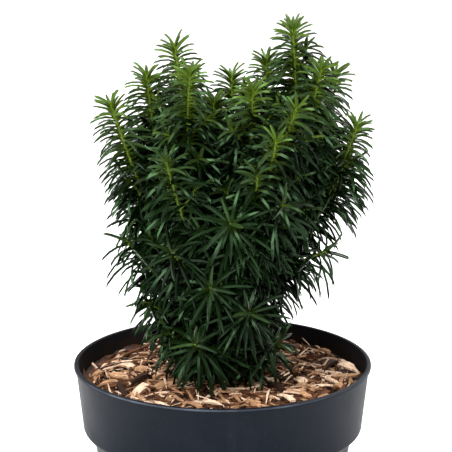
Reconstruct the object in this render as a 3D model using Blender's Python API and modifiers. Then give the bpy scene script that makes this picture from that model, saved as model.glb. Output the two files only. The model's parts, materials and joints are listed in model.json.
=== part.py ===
"""A young english yew growing in a round plastic nursery pot.

Metres, +Z up. The origin is the centre of the pot's flat underside, and -Y is the plant's front.
One short trunk stands on the potting soil. Each shoot starts on it: a leader is a bough that carries
a leafy mass at its end, and a side shoot is a leafy mass whose stem starts on the trunk itself.
"""

import math
import random

import bmesh
import bpy
from mathutils import Matrix, Vector, kdtree, noise

# The gap kept between two pieces that touch.
GAP = 0.0003

# The pot: outer radii and heights of its band, shoulder and body.
POT_HEIGHT = 0.150
RIM_RADIUS = 0.0950
RIM_LIP = 0.0022
BAND_TOP_RADIUS = 0.0937
BAND_FOOT_RADIUS = 0.0896
BAND_FOOT_HEIGHT = 0.1095
BAND_EDGE = 0.0022
BAND_EDGE_DROP = 0.0030
SHOULDER_RADIUS = 0.0825
SHOULDER_HEIGHT = 0.1018
SHOULDER_EASE = 0.0022
SHOULDER_DROP = 0.0010
BASE_RADIUS = 0.0670
BASE_CHAMFER = 0.0025
WALL = 0.0016
FLOOR = 0.0030
POT_STEPS = 32
DRAIN_HOLES = 8
DRAIN_HOLE_SIDES = 8
DRAIN_HOLE_RADIUS = 0.0045
DRAIN_CIRCLE_RADIUS = 0.0500

# What fills the pot.
SOIL_TOP = 0.1320
MULCH_LEVEL = 0.1385
MULCH_BUMP = 0.0018
MULCH_BUMPS_PER_METRE = 70.0
MULCH_MOUND = 0.0035
MULCH_MOUND_RADIUS = 0.045
MULCH_STEPS = 28
MULCH_RINGS = 5
CHIP_COUNT = 16
CHIP_LENGTH = 0.017
CHIP_WIDTH = 0.0048
CHIP_THICKNESS = 0.0022
CHIP_TILT = 0.16

# The trunk, from its flat cut on the soil to its tip inside the foliage.
TRUNK_X = 0.006
TRUNK_Y = 0.0
TRUNK_TIP = 0.2620
TRUNK_LEAN = 0.004
TRUNK_FLARE_RADIUS = 0.0068
TRUNK_FOOT_RADIUS = 0.0046
TRUNK_TIP_RADIUS = 0.0026
TRUNK_SIDES = 8
TRUNK_RINGS = 10
FLARE_HEIGHT = 0.012
FIRST_FORK = 0.1480
LAST_FORK = 0.2560

# Leaders: name, x, y and z of the topmost needle, and the elevation in degrees of the stem's end.
LEADERS = (
    ("far_left", -0.071, -0.008, 0.3245, 72.0),
    ("left", -0.048, 0.016, 0.3390, 85.0),
    ("left_tall", -0.031, 0.022, 0.3570, 80.0),
    ("left_front", -0.019, -0.017, 0.3465, 96.0),
    ("middle_back", 0.006, 0.042, 0.3340, 80.0),
    ("middle_low", -0.006, 0.016, 0.3220, 85.0),
    ("middle_right", 0.028, 0.010, 0.3495, 87.0),
    ("middle_front", 0.019, -0.023, 0.3370, 84.0),
    ("tallest", 0.042, -0.006, 0.3720, 96.0),
    ("right", 0.062, -0.018, 0.3485, 76.0),
    ("right_back", 0.073, 0.025, 0.3390, 73.0),
    ("far_right", 0.086, -0.004, 0.3110, 71.0),
    ("back_left", -0.030, 0.058, 0.3230, 74.0),
    ("back_right", 0.051, 0.056, 0.3190, 73.0),
)

# Side shoots: name, x, y and z of the outermost needle, and the elevation in degrees of the stem's end.
SIDE_SHOOTS = (
    ("upper_front_right", 0.0467, -0.0480, 0.3295, 63.0),
    ("upper_front", 0.0332, -0.0573, 0.3123, 71.0),
    ("upper_front_left", -0.0350, -0.0570, 0.2995, 70.0),
    ("upper_front_middle", 0.0220, -0.0605, 0.2927, 68.0),
    ("outer_left", -0.0590, -0.0080, 0.2490, 50.0),
    ("outer_right", 0.0790, 0.0162, 0.2710, 52.0),
    ("front_middle", 0.0050, -0.0806, 0.2618, 20.0),
    ("front_right", 0.0406, -0.0663, 0.2727, 33.0),
    ("front_left", -0.0360, -0.0616, 0.2450, 42.0),
    ("low_left", -0.0614, -0.0221, 0.2373, 52.0),
    ("low_right", 0.0708, -0.0251, 0.2309, 20.0),
    ("low_front_left", -0.0096, -0.0721, 0.2199, 20.0),
    ("low_front_right", 0.0178, -0.0701, 0.2039, 22.0),
    ("foot_left", -0.0500, -0.0160, 0.1960, 35.0),
    ("foot_right", 0.0520, -0.0125, 0.1980, 28.0),
    ("foot_front", -0.0200, -0.0660, 0.1858, 35.0),
    ("foot_front_right", 0.0400, -0.0460, 0.1790, 28.0),
    ("foot_front_left", -0.0400, -0.0293, 0.1840, 43.0),
    ("foot_back_right", 0.0239, 0.0507, 0.1760, 29.0),
    ("foot_back_left", -0.0460, 0.0130, 0.1850, 30.0),
)

# Side shoots at the back, placed by rule, each at another level than its neighbours.
BACK_SHOOTS = 7
BACK_FIRST_AZIMUTH = 40.0
BACK_LAST_AZIMUTH = 137.0
BACK_LOW = 0.190
BACK_HIGH = 0.296
BACK_LEVEL_STRIDE = 3
BACK_LEVEL_SHIFT = 1
BACK_LOW_REACH = 0.0585
BACK_HIGH_REACH = 0.0775
BACK_LOW_ELEVATION = 36.0
BACK_HIGH_ELEVATION = 74.0

# A shoot's path. The steeper it rises, the higher it leaves the trunk.
FLATTEST = 34.0
STEEPEST = 86.0
FORK_POWER = 2.0
LEADER_LEAVING_ELEVATION = 34.0
LEADER_LEAVING_PULL = 0.36
LEADER_ARRIVING_PULL = 0.48
SIDE_LEAST_LEAVING = 12.0
SIDE_MOST_LEAVING = 62.0
SIDE_LEAVING_PULL = 0.34
SIDE_ARRIVING_PULL = 0.36
PATH_POINTS = 41
PATH_STEPS = 7
BOUGH_STEPS = 4
STEM_TIP_SHORT = 0.011
BARE_LEADER = 0.30
BARE_SIDE = 0.26

# Limbs and stems. A stem swells to a slim core where its needles hide it.
BOUGH_RADIUS = 0.0019
BOUGH_SIDES = 6
STEM_RADIUS = 0.0017
STEM_TIP_RADIUS = 0.0011
CORE_RADIUS = 0.0026
CORE_SIDES = 3
CORE_SKEW = 0.75
CORE_FULLNESS = 0.6

# Needles, larger than life because each stands for several.
NEEDLE_SHORT = 0.020
NEEDLE_LONG = 0.030
NEEDLE_TOP_HEIGHT = 0.330
NEEDLE_LOW_HEIGHT = 0.230
NEEDLE_WIDTH = 0.0062
NEEDLE_THICKNESS = 0.0012
NEEDLE_WIDEST = 0.45
NEEDLE_ARCH = 0.13
NEEDLE_ROOT = 0.0007
NEEDLE_PITCH = 0.0035
NEEDLE_TIP_PITCH = 0.0023
NEEDLE_TIP_ANGLE = 16.0
NEEDLE_FOOT_ANGLE = 62.0
NEEDLE_YOUNG_SPAN = 0.030
NEEDLE_YOUNG_LENGTH = 0.62
NEEDLE_YOUNG_WIDTH = 0.70
NEEDLE_VARIATION = 0.08
NEEDLE_SHORTENINGS = (1.0, 0.88, 0.76, 0.66, 0.56)
NEEDLE_FREE_END = 0.003
SEARCH_RADIUS = 0.012
GOLDEN_ANGLE = math.radians(137.508)
SEED = 5

# Each material's colour and roughness.
FINISHES = {
    "pot_plastic": ((0.035, 0.038, 0.045, 1.0), 0.45),
    "potting_soil": ((0.050, 0.030, 0.020, 1.0), 0.95),
    "bark_mulch": ((0.330, 0.180, 0.095, 1.0), 0.85),
    "yew_bark": ((0.180, 0.105, 0.065, 1.0), 0.85),
    "yew_needles": ((0.035, 0.100, 0.040, 1.0), 0.45),
}


def clear_scene():
    for obj in list(bpy.data.objects):
        bpy.data.objects.remove(obj)


def new_collection(name):
    collection = bpy.data.collections.new(name)
    bpy.context.scene.collection.children.link(collection)
    return collection


def make_material(name):
    colour, roughness = FINISHES[name]
    material = bpy.data.materials.new(name)
    material.use_nodes = True
    shader = material.node_tree.nodes["Principled BSDF"]
    shader.inputs["Base Color"].default_value = colour
    shader.inputs["Roughness"].default_value = roughness
    shader.inputs["Metallic"].default_value = 0.0
    return material


def add_object(name, data, collection, material=None):
    obj = bpy.data.objects.new(name, data)
    collection.objects.link(obj)
    if material:
        data.materials.append(material)
    return obj


def add_cage(name, cage, collection):
    """Turns a bmesh into an object."""
    mesh = bpy.data.meshes.new(name)
    cage.to_mesh(mesh)
    cage.free()
    return add_object(name, mesh, collection)


def blend(low, high, share):
    return low + (high - low) * share


def smoothly(low, high, share):
    """A value between low and high that eases in and out as share goes from 0 to 1."""
    share = min(1.0, max(0.0, share))
    return blend(low, high, share * share * (3.0 - 2.0 * share))


def evaluated_mesh(obj, name, merge):
    """The object's mesh as its modifiers or its curve make it, with doubles merged if merge is true."""
    graph = bpy.context.evaluated_depsgraph_get()
    mesh = bpy.data.meshes.new_from_object(obj.evaluated_get(graph))
    mesh.name = name
    if not merge:
        return mesh
    cage = bmesh.new()
    cage.from_mesh(mesh)
    bmesh.ops.remove_doubles(cage, verts=cage.verts, dist=1e-6)
    bmesh.ops.recalc_face_normals(cage, faces=cage.faces)
    cage.to_mesh(mesh)
    cage.free()
    return mesh


def apply_modifiers(obj, merge=False):
    """Replaces the object's mesh by what its modifiers make of it."""
    bpy.context.view_layer.update()
    mesh = evaluated_mesh(obj, obj.name, merge)
    obj.modifiers.clear()
    obj.data = mesh


def turned(name, profile, steps, collection, material):
    """A solid of revolution about Z. The profile runs from the axis, down the outer side, to the axis."""
    mesh = bpy.data.meshes.new(name)
    mesh.from_pydata(
        [(radius, 0.0, height) for radius, height in profile],
        [(i, i + 1) for i in range(len(profile) - 1)],
        [],
    )
    obj = add_object(name, mesh, collection, material)
    screw = obj.modifiers.new("turn", "SCREW")
    screw.axis = "Z"
    screw.angle = 2.0 * math.pi
    screw.steps = steps
    screw.render_steps = steps
    screw.use_merge_vertices = True
    screw.merge_threshold = 0.00001
    apply_modifiers(obj, merge=True)
    return obj


def join_collection(obj, pieces):
    """Fuses every object of the collection pieces into obj with one Boolean, then removes them."""
    union = obj.modifiers.new("fuse", "BOOLEAN")
    union.operation = "UNION"
    union.solver = "EXACT"
    union.operand_type = "COLLECTION"
    union.collection = pieces
    apply_modifiers(obj)
    for piece in list(pieces.objects):
        bpy.data.objects.remove(piece)
    bpy.data.collections.remove(pieces)


def keep_main_body(obj):
    """Drops any loose scrap, and fills any hollow that the fusing sealed."""
    cage = bmesh.new()
    cage.from_mesh(obj.data)
    left = set(cage.verts)
    islands = []
    while left:
        front = [left.pop()]
        island = set(front)
        while front:
            vertex = front.pop()
            near = {edge.other_vert(vertex) for edge in vertex.link_edges} & left
            left -= near
            island |= near
            front.extend(near)
        islands.append(island)
    islands.sort(key=len)
    for island in islands[:-1]:
        bmesh.ops.delete(cage, geom=list(island), context="VERTS")
    cage.to_mesh(obj.data)
    cage.free()


def cut(obj, cutter):
    """Cuts the object cutter out of obj."""
    difference = obj.modifiers.new("cut", "BOOLEAN")
    difference.operation = "DIFFERENCE"
    difference.solver = "EXACT"
    difference.object = cutter
    apply_modifiers(obj)


def section(sides, collection):
    """A closed outline of unit radius with that many sides, for a curve to be swept with."""
    outline = bpy.data.curves.new("section", "CURVE")
    spline = outline.splines.new("POLY")
    spline.points.add(sides - 1)
    spline.use_cyclic_u = True
    for i, knot in enumerate(spline.points):
        angle = 2.0 * math.pi * i / sides
        knot.co = (math.cos(angle), math.sin(angle), 0.0, 1.0)
    return add_object("section", outline, collection)


def tube(name, points, radii, sides, collection, material=None):
    """A tapering limb with closed ends, swept along the points."""
    outline = section(sides, collection)
    curve = bpy.data.curves.new(name, "CURVE")
    curve.dimensions = "3D"
    curve.bevel_mode = "OBJECT"
    curve.bevel_object = outline
    curve.use_fill_caps = True
    spline = curve.splines.new("POLY")
    spline.points.add(len(points) - 1)
    for knot, point, radius in zip(spline.points, points, radii):
        knot.co = (*point, 1.0)
        knot.radius = radius
    guide = add_object(name + "_guide", curve, collection)
    bpy.context.view_layer.update()
    mesh = evaluated_mesh(guide, name, merge=True)
    bpy.data.objects.remove(guide)
    bpy.data.objects.remove(outline)
    return add_object(name, mesh, collection, material)


def wall_inside(height):
    """The inner radius of the pot's wall at a height."""
    outer = (
        (BASE_CHAMFER, BASE_RADIUS),
        (SHOULDER_HEIGHT, SHOULDER_RADIUS),
        (BAND_FOOT_HEIGHT, BAND_FOOT_RADIUS),
        (POT_HEIGHT, BAND_TOP_RADIUS),
    )
    for (low, narrow), (high, wide) in zip(outer, outer[1:]):
        if height <= high:
            return blend(narrow, wide, (height - low) / (high - low)) - WALL
    return BAND_TOP_RADIUS - WALL


def make_pot(collection, cutters, material):
    """The turned pot, open at the top, with a ring of drain holes through its floor."""
    lip = RIM_LIP / 2.0
    profile = (
        (0.0, FLOOR),
        (wall_inside(FLOOR), FLOOR),
        (wall_inside(SHOULDER_HEIGHT), SHOULDER_HEIGHT),
        (wall_inside(BAND_FOOT_HEIGHT), BAND_FOOT_HEIGHT),
        (wall_inside(POT_HEIGHT - lip), POT_HEIGHT - lip),
        (BAND_TOP_RADIUS - WALL / 2.0, POT_HEIGHT),
        (RIM_RADIUS - lip / 2.0, POT_HEIGHT),
        (RIM_RADIUS, POT_HEIGHT - lip),
        (RIM_RADIUS - lip / 2.0, POT_HEIGHT - RIM_LIP),
        (BAND_TOP_RADIUS, POT_HEIGHT - RIM_LIP),
        (BAND_FOOT_RADIUS, BAND_FOOT_HEIGHT),
        (BAND_FOOT_RADIUS - BAND_EDGE, BAND_FOOT_HEIGHT - BAND_EDGE_DROP),
        (SHOULDER_RADIUS + SHOULDER_EASE, SHOULDER_HEIGHT + SHOULDER_DROP),
        (SHOULDER_RADIUS, SHOULDER_HEIGHT - SHOULDER_DROP),
        (BASE_RADIUS, BASE_CHAMFER),
        (BASE_RADIUS - BASE_CHAMFER, 0.0),
        (0.0, 0.0),
    )
    pot = turned("pot", profile, POT_STEPS, collection, material)
    for i in range(DRAIN_HOLES):
        angle = 2.0 * math.pi * (i + 0.5) / DRAIN_HOLES
        cage = bmesh.new()
        bmesh.ops.create_cone(
            cage,
            cap_ends=True,
            segments=DRAIN_HOLE_SIDES,
            radius1=DRAIN_HOLE_RADIUS,
            radius2=DRAIN_HOLE_RADIUS,
            depth=4.0 * FLOOR,
        )
        cutter = add_cage("drain_cutter", cage, cutters)
        cutter.location = (
            DRAIN_CIRCLE_RADIUS * math.cos(angle),
            DRAIN_CIRCLE_RADIUS * math.sin(angle),
            FLOOR / 2.0,
        )
        cut(pot, cutter)
        bpy.data.objects.remove(cutter)


def make_soil(collection, material):
    """The soil that fills the pot to below the mulch, clear of the wall and the floor."""
    profile = (
        (0.0, SOIL_TOP),
        (wall_inside(SOIL_TOP) - GAP, SOIL_TOP),
        (wall_inside(BAND_FOOT_HEIGHT) - 2.0 * GAP, BAND_FOOT_HEIGHT + GAP),
        (wall_inside(SHOULDER_HEIGHT) - 2.0 * GAP, SHOULDER_HEIGHT),
        (wall_inside(FLOOR) - 2.0 * GAP, FLOOR + GAP),
        (0.0, FLOOR + GAP),
    )
    turned("potting_soil", profile, POT_STEPS, collection, material)


def mulch_height(x, y):
    """The height of the mulch's uneven top, which rises a little towards the trunk."""
    radius = math.hypot(x - TRUNK_X, y - TRUNK_Y)
    mound = MULCH_MOUND * math.exp(-((radius / MULCH_MOUND_RADIUS) ** 2))
    bump = MULCH_BUMP * noise.noise(Vector((x, y, 0.0)) * MULCH_BUMPS_PER_METRE)
    return MULCH_LEVEL + mound + bump


def make_chips(hole, edge):
    """The larger chips of bark, in a spiral over the mulch and clear of the trunk and the wall."""
    chips = new_collection("chips")
    rng = random.Random(SEED)
    for i in range(CHIP_COUNT):
        angle = i * GOLDEN_ANGLE
        radius = edge * math.sqrt(blend(0.10, 0.88, (i + 0.5) / CHIP_COUNT))
        length = CHIP_LENGTH * rng.uniform(0.6, 1.3)
        x = radius * math.cos(angle)
        y = radius * math.sin(angle)
        if math.hypot(x - TRUNK_X, y - TRUNK_Y) < hole + length:
            continue
        turn = Matrix.Rotation(rng.uniform(0.0, math.pi), 4, "Z")
        tilt = Matrix.Rotation(rng.uniform(-CHIP_TILT, CHIP_TILT), 4, "Y")
        if radius + length * 0.6 > edge:
            turn = Matrix.Rotation(angle + math.pi / 2.0, 4, "Z")
        place = Matrix.Translation((x, y, mulch_height(x, y) + 0.2 * CHIP_THICKNESS))
        size = Matrix.Diagonal((length, CHIP_WIDTH * rng.uniform(0.6, 1.5), CHIP_THICKNESS, 1.0))
        cage = bmesh.new()
        bmesh.ops.create_cube(cage, size=1.0, matrix=place @ turn @ tilt @ size)
        add_cage("chip", cage, chips)
    return chips


def make_mulch(collection, material):
    """The layer of bark over the soil, with a hole for the trunk and larger chips standing out of it."""
    hole = TRUNK_FLARE_RADIUS + 2.0 * GAP
    edge = wall_inside(MULCH_LEVEL) - 2.0 * GAP
    bottom = SOIL_TOP + GAP
    profile = [(hole, bottom)]
    profile += [(blend(hole, edge, i / MULCH_RINGS), MULCH_LEVEL) for i in range(MULCH_RINGS + 1)]
    profile += [(wall_inside(bottom) - 2.0 * GAP, bottom), (hole, bottom)]
    layer = turned("bark_mulch", profile, MULCH_STEPS, collection, material)
    to_trunk = Vector((TRUNK_X, TRUNK_Y, 0.0))
    for vertex in layer.data.vertices:
        radius = math.hypot(vertex.co.x, vertex.co.y)
        inwards = 1.0 - (radius - hole) / (edge - hole)
        vertex.co += to_trunk * max(0.0, min(1.0, inwards))
        if vertex.co.z > bottom + GAP:
            vertex.co.z = mulch_height(vertex.co.x, vertex.co.y)
    join_collection(layer, make_chips(hole, edge))


def trunk_point(height):
    """A point of the trunk's axis, which stands upright on its foot and then leans a little to the left."""
    share = max(0.0, height - SOIL_TOP - FLARE_HEIGHT) / (TRUNK_TIP - SOIL_TOP)
    lean = TRUNK_LEAN * share * share
    return Vector((TRUNK_X - lean, TRUNK_Y + 0.5 * lean, height))


def trunk_radius(height):
    flare = math.exp(-(height - SOIL_TOP - GAP) / FLARE_HEIGHT)
    share = (height - SOIL_TOP) / (TRUNK_TIP - SOIL_TOP)
    plain = blend(TRUNK_FOOT_RADIUS, TRUNK_TIP_RADIUS, share)
    return plain + (TRUNK_FLARE_RADIUS - TRUNK_FOOT_RADIUS) * flare


def trunk_heights(count):
    """Heights along the trunk, closer together in the root flare."""
    foot = SOIL_TOP + GAP
    return [blend(foot, TRUNK_TIP, (i / (count - 1)) ** 1.5) for i in range(count)]


def make_trunk(name, collection, material=None, growth=0.0):
    """The trunk, or with growth a fatter one that cuts the limbs clear of it."""
    heights = trunk_heights(TRUNK_RINGS)
    points = [trunk_point(height) for height in heights]
    radii = [trunk_radius(height) + growth for height in heights]
    points[0].z -= 2.0 * growth
    points[-1].z += growth
    return tube(name, points, radii, TRUNK_SIDES, collection, material)


class Shoot:
    """One shoot's path from the trunk's axis to its tip, how much of it is bare, and its thickness."""

    def __init__(self, name, tip, elevation, leader):
        self.name = name
        self.leader = leader
        tip = Vector(tip)
        flat = Vector((tip.x - TRUNK_X, tip.y - TRUNK_Y, 0.0))
        reach = flat.length
        outward = flat.normalized()
        steepness = math.degrees(math.atan2(tip.z - SOIL_TOP, reach))
        fork = max(0.0, (steepness - FLATTEST) / (STEEPEST - FLATTEST)) ** FORK_POWER
        base = trunk_point(blend(FIRST_FORK, LAST_FORK, fork))
        aim = self.direction(outward, elevation)
        end = tip - aim * STEM_TIP_SHORT
        if self.leader:
            leaving = LEADER_LEAVING_ELEVATION
            pulls = (LEADER_LEAVING_PULL, LEADER_ARRIVING_PULL)
        else:
            straight = math.degrees(math.atan2(end.z - base.z, reach))
            leaving = min(SIDE_MOST_LEAVING, max(SIDE_LEAST_LEAVING, 2.0 * straight - elevation))
            pulls = (SIDE_LEAVING_PULL, SIDE_ARRIVING_PULL)
        leave = self.direction(outward, leaving)
        span = (end - base).length
        self.knots = (base, base + leave * span * pulls[0], end - aim * span * pulls[1], end)
        self.points = [self.at(i / (PATH_POINTS - 1)) for i in range(PATH_POINTS)]
        self.length = sum((b - a).length for a, b in zip(self.points, self.points[1:]))
        self.bare = BARE_LEADER if self.leader else BARE_SIDE
        self.room = [CORE_RADIUS] * PATH_POINTS

    @staticmethod
    def direction(outward, elevation):
        angle = math.radians(elevation)
        return outward * math.cos(angle) + Vector((0.0, 0.0, math.sin(angle)))

    def at(self, share):
        a, b, c, d = self.knots
        rest = 1.0 - share
        return a * rest**3 + b * (3.0 * rest**2 * share) + c * (3.0 * rest * share**2) + d * share**3

    def along(self, share):
        step = 0.01
        return (self.at(min(1.0, share + step)) - self.at(max(0.0, share - step))).normalized()

    def find_room(self, others):
        """Half the way to the nearest other shoot, at each point of the path."""
        for i, point in enumerate(self.points):
            nearest = min((point - place).length for other in others for place in other.points)
            self.room[i] = nearest / 2.0 - GAP

    def radius(self, share):
        """The radius of the bare limb, and past it of the core that the needles hide."""
        plain = blend(BOUGH_RADIUS if self.leader else STEM_RADIUS, STEM_TIP_RADIUS, share)
        if share <= self.bare or share >= 1.0:
            return plain
        inside = (share - self.bare) / (1.0 - self.bare)
        swell = math.sin(math.pi * inside**CORE_SKEW) ** CORE_FULLNESS
        step = int(share * (PATH_POINTS - 1))
        room = min(self.room[step], self.room[step + 1])
        return blend(plain, max(plain, min(CORE_RADIUS, room)), swell)

    def piece(self, start, end, steps):
        """Points and radii along a part of the shoot."""
        shares = [blend(start, end, i / steps) for i in range(steps + 1)]
        return [self.at(share) for share in shares], [self.radius(share) for share in shares]


def back_shoots():
    """Side shoots at the back, in the same order of values as the table of side shoots."""
    for i in range(BACK_SHOOTS):
        azimuth = math.radians(blend(BACK_FIRST_AZIMUTH, BACK_LAST_AZIMUTH, i / (BACK_SHOOTS - 1)))
        level = ((i + BACK_LEVEL_SHIFT) * BACK_LEVEL_STRIDE % BACK_SHOOTS) / (BACK_SHOOTS - 1)
        reach = blend(BACK_LOW_REACH, BACK_HIGH_REACH, level)
        x = TRUNK_X + reach * math.cos(azimuth)
        y = TRUNK_Y + reach * math.sin(azimuth)
        elevation = blend(BACK_LOW_ELEVATION, BACK_HIGH_ELEVATION, level)
        yield f"back_{i + 1}", x, y, blend(BACK_LOW, BACK_HIGH, level), elevation


def all_shoots():
    shoots = [Shoot(name, (x, y, z), elevation, True) for name, x, y, z, elevation in LEADERS]
    shoots += [Shoot(name, (x, y, z), elevation, False) for name, x, y, z, elevation in SIDE_SHOOTS]
    shoots += [Shoot(name, (x, y, z), elevation, False) for name, x, y, z, elevation in back_shoots()]
    for shoot in shoots:
        shoot.find_room([other for other in shoots if other is not shoot])
    return shoots


class Needle:
    """A narrow double cone of six faces, with two edges and a ridge, arched towards its normal."""

    def __init__(self, root, tip, normal, width):
        self.root = root
        self.tip = tip
        along = (tip - root).normalized()
        self.side = along.cross(normal).normalized() * (width / 2.0)
        self.normal = self.side.cross(along).normalized()
        self.middle = root.lerp(tip, NEEDLE_WIDEST) + self.normal * (NEEDLE_ARCH * (tip - root).length)

    def samples(self):
        """Points of the needle that have to stay in its shoot's space."""
        half_way = self.middle.lerp(self.tip, 0.5)
        return (
            self.middle + self.side,
            self.middle - self.side,
            half_way + self.side * 0.5,
            half_way - self.side * 0.5,
            self.tip,
        )

    def make(self, collection):
        cage = bmesh.new()
        bmesh.ops.create_uvsphere(cage, u_segments=3, v_segments=2, radius=1.0)
        for vertex in cage.verts:
            if abs(vertex.co.z) > 0.5:
                vertex.co = self.root if vertex.co.z < 0.0 else self.tip
            else:
                across = vertex.co.y / math.sin(math.radians(120.0))
                up = vertex.co.x * NEEDLE_THICKNESS * 2.0 / 3.0
                vertex.co = self.middle + self.side * across + self.normal * up
        bmesh.ops.recalc_face_normals(cage, faces=cage.faces)
        add_cage("needle", cage, collection)


class Space:
    """Says whether a needle keeps to its own shoot's space, clear of every limb and of the pot."""

    def __init__(self, shoots):
        self.rows = []
        for shoot in shoots:
            for i, point in enumerate(shoot.points):
                share = i / (PATH_POINTS - 1)
                self.rows.append((point, shoot.name, shoot.radius(share), share))
        for height in trunk_heights(PATH_POINTS):
            self.rows.append((trunk_point(height), "trunk", trunk_radius(height), 0.0))
        self.tree = kdtree.KDTree(len(self.rows))
        for index, row in enumerate(self.rows):
            self.tree.insert(row[0], index)
        self.tree.balance()

    def holds(self, shoot, needle):
        return all(self.above_pot(point) and self.clear(shoot, point) for point in needle.samples())

    def clear(self, shoot, point):
        """True where the point is nearer its own shoot than any other, and outside every bare limb."""
        own = min((point - place).length for place in shoot.points)
        for _, index, distance in self.tree.find_range(point, max(own + 3.0 * GAP, SEARCH_RADIUS)):
            _, owner, radius, share = self.rows[index]
            limit = radius + 2.0 * GAP
            if owner == shoot.name:
                if share > shoot.bare - 0.02:
                    continue
            elif owner != "trunk":
                limit = max(limit, own + 2.0 * GAP)
            if distance < limit:
                return False
        return True

    @staticmethod
    def above_pot(point):
        if point.z > POT_HEIGHT + 2.0 * GAP:
            return True
        inside = math.hypot(point.x, point.y) < wall_inside(POT_HEIGHT) - 3.0 * GAP
        return inside and point.z > mulch_height(point.x, point.y) + CHIP_THICKNESS + GAP


def needle_length(height):
    """Needles are longest low down and shortest at the top of the plant."""
    share = (height - NEEDLE_LOW_HEIGHT) / (NEEDLE_TOP_HEIGHT - NEEDLE_LOW_HEIGHT)
    return smoothly(NEEDLE_LONG, NEEDLE_SHORT, share)


def grow_needles(shoot, space, needles):
    """Needles in a spiral round the leafy part of the shoot, shorter and steeper towards its tip."""
    rng = random.Random(f"{SEED} {shoot.name}")
    leafy = shoot.length * (1.0 - shoot.bare)
    from_tip = 0.0
    turn = rng.uniform(0.0, 2.0 * math.pi)
    while from_tip < leafy - NEEDLE_FREE_END:
        share = 1.0 - from_tip / shoot.length
        stem = shoot.at(share)
        axis = shoot.along(share)
        outward = Matrix.Rotation(turn, 3, axis) @ axis.orthogonal().normalized()
        grown = min(1.0, from_tip / NEEDLE_YOUNG_SPAN)
        angle = math.radians(blend(NEEDLE_TIP_ANGLE, NEEDLE_FOOT_ANGLE, grown**0.6))
        aim = axis * math.cos(angle) + outward * math.sin(angle)
        bend = (axis - aim * axis.dot(aim)).normalized()
        length = needle_length(stem.z) * blend(NEEDLE_YOUNG_LENGTH, 1.0, grown)
        length *= rng.uniform(1.0 - NEEDLE_VARIATION, 1.0 + NEEDLE_VARIATION)
        width = NEEDLE_WIDTH * blend(NEEDLE_YOUNG_WIDTH, 1.0, grown)
        for short in NEEDLE_SHORTENINGS:
            root = stem - outward * NEEDLE_ROOT
            needle = Needle(root, stem + aim * length * short, bend, width * blend(0.5, 1.0, short))
            if space.holds(shoot, needle):
                needle.make(needles)
                break
        turn += GOLDEN_ANGLE
        from_tip += blend(NEEDLE_TIP_PITCH, NEEDLE_PITCH, grown)


def make_shoot(shoot, space, plant, fat_trunk, bark, green):
    """The shoot's bough, if it is a leader, and its leafy mass."""
    start = 0.0
    if shoot.leader:
        half_gap = 0.5 * GAP / shoot.length
        start = shoot.bare + half_gap
        points, radii = shoot.piece(0.0, shoot.bare - half_gap, BOUGH_STEPS)
        bough = tube("bough_" + shoot.name, points, radii, BOUGH_SIDES, plant, bark)
        cut(bough, fat_trunk)
    points, radii = shoot.piece(start, 1.0, PATH_STEPS)
    mass = tube("foliage_" + shoot.name, points, radii, CORE_SIDES, plant, green)
    if not shoot.leader:
        cut(mass, fat_trunk)
    needles = new_collection("needles_" + shoot.name)
    grow_needles(shoot, space, needles)
    join_collection(mass, needles)
    keep_main_body(mass)


def main():
    clear_scene()
    plant = new_collection("english_yew")
    cutters = new_collection("cutters")
    materials = {name: make_material(name) for name in FINISHES}
    bark = materials["yew_bark"]
    make_pot(plant, cutters, materials["pot_plastic"])
    make_soil(plant, materials["potting_soil"])
    make_mulch(plant, materials["bark_mulch"])
    make_trunk("trunk", plant, bark)
    fat_trunk = make_trunk("fat_trunk", cutters, growth=GAP)
    fat_trunk.hide_render = True
    fat_trunk.display_type = "WIRE"
    shoots = all_shoots()
    space = Space(shoots)
    for shoot in shoots:
        make_shoot(shoot, space, plant, fat_trunk, bark, materials["yew_needles"])


main()
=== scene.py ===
"""A young English yew in a nursery pot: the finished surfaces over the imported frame.

Metres, +Z up, in the frame's own place: the origin is the centre of the pot's underside and -Y is
the plant's front. The shoots follow the same rule as the frame's solids, and carry finer twigs.
"""

import json
import math
import random
from typing import NamedTuple

import bmesh
import bpy
import numpy as np
from bpy.props import FloatProperty, FloatVectorProperty, IntProperty, PointerProperty
from bpy.types import Operator, Panel, PropertyGroup
from mathutils import Matrix, Vector, noise

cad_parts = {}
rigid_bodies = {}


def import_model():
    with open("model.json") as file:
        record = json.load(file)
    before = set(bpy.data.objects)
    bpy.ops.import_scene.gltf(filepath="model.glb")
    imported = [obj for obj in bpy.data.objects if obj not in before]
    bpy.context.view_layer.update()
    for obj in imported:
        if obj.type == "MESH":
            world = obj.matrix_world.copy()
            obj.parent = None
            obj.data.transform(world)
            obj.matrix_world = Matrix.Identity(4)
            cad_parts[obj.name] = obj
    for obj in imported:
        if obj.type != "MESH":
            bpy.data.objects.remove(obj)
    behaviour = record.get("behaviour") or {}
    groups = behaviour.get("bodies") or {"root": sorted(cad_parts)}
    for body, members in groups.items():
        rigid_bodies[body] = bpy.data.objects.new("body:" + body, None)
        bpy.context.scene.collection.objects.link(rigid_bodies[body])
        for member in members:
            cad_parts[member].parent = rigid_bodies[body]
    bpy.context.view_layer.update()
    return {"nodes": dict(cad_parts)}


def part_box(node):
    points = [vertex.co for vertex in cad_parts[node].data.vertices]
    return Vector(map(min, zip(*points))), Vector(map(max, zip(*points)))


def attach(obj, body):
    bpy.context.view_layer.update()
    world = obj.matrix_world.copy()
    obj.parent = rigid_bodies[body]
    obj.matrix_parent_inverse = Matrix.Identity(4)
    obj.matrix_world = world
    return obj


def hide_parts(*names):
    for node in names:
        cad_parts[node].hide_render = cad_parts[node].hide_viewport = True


bl_info = {
    "name": "Potted English Yew",
    "version": (1, 0, 0),
    "blender": (4, 5, 0),
    "location": "3D View > Sidebar > Yew",
    "description": "Builds a young English yew in a nursery pot, piece by piece",
    "category": "Add Mesh",
}

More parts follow.
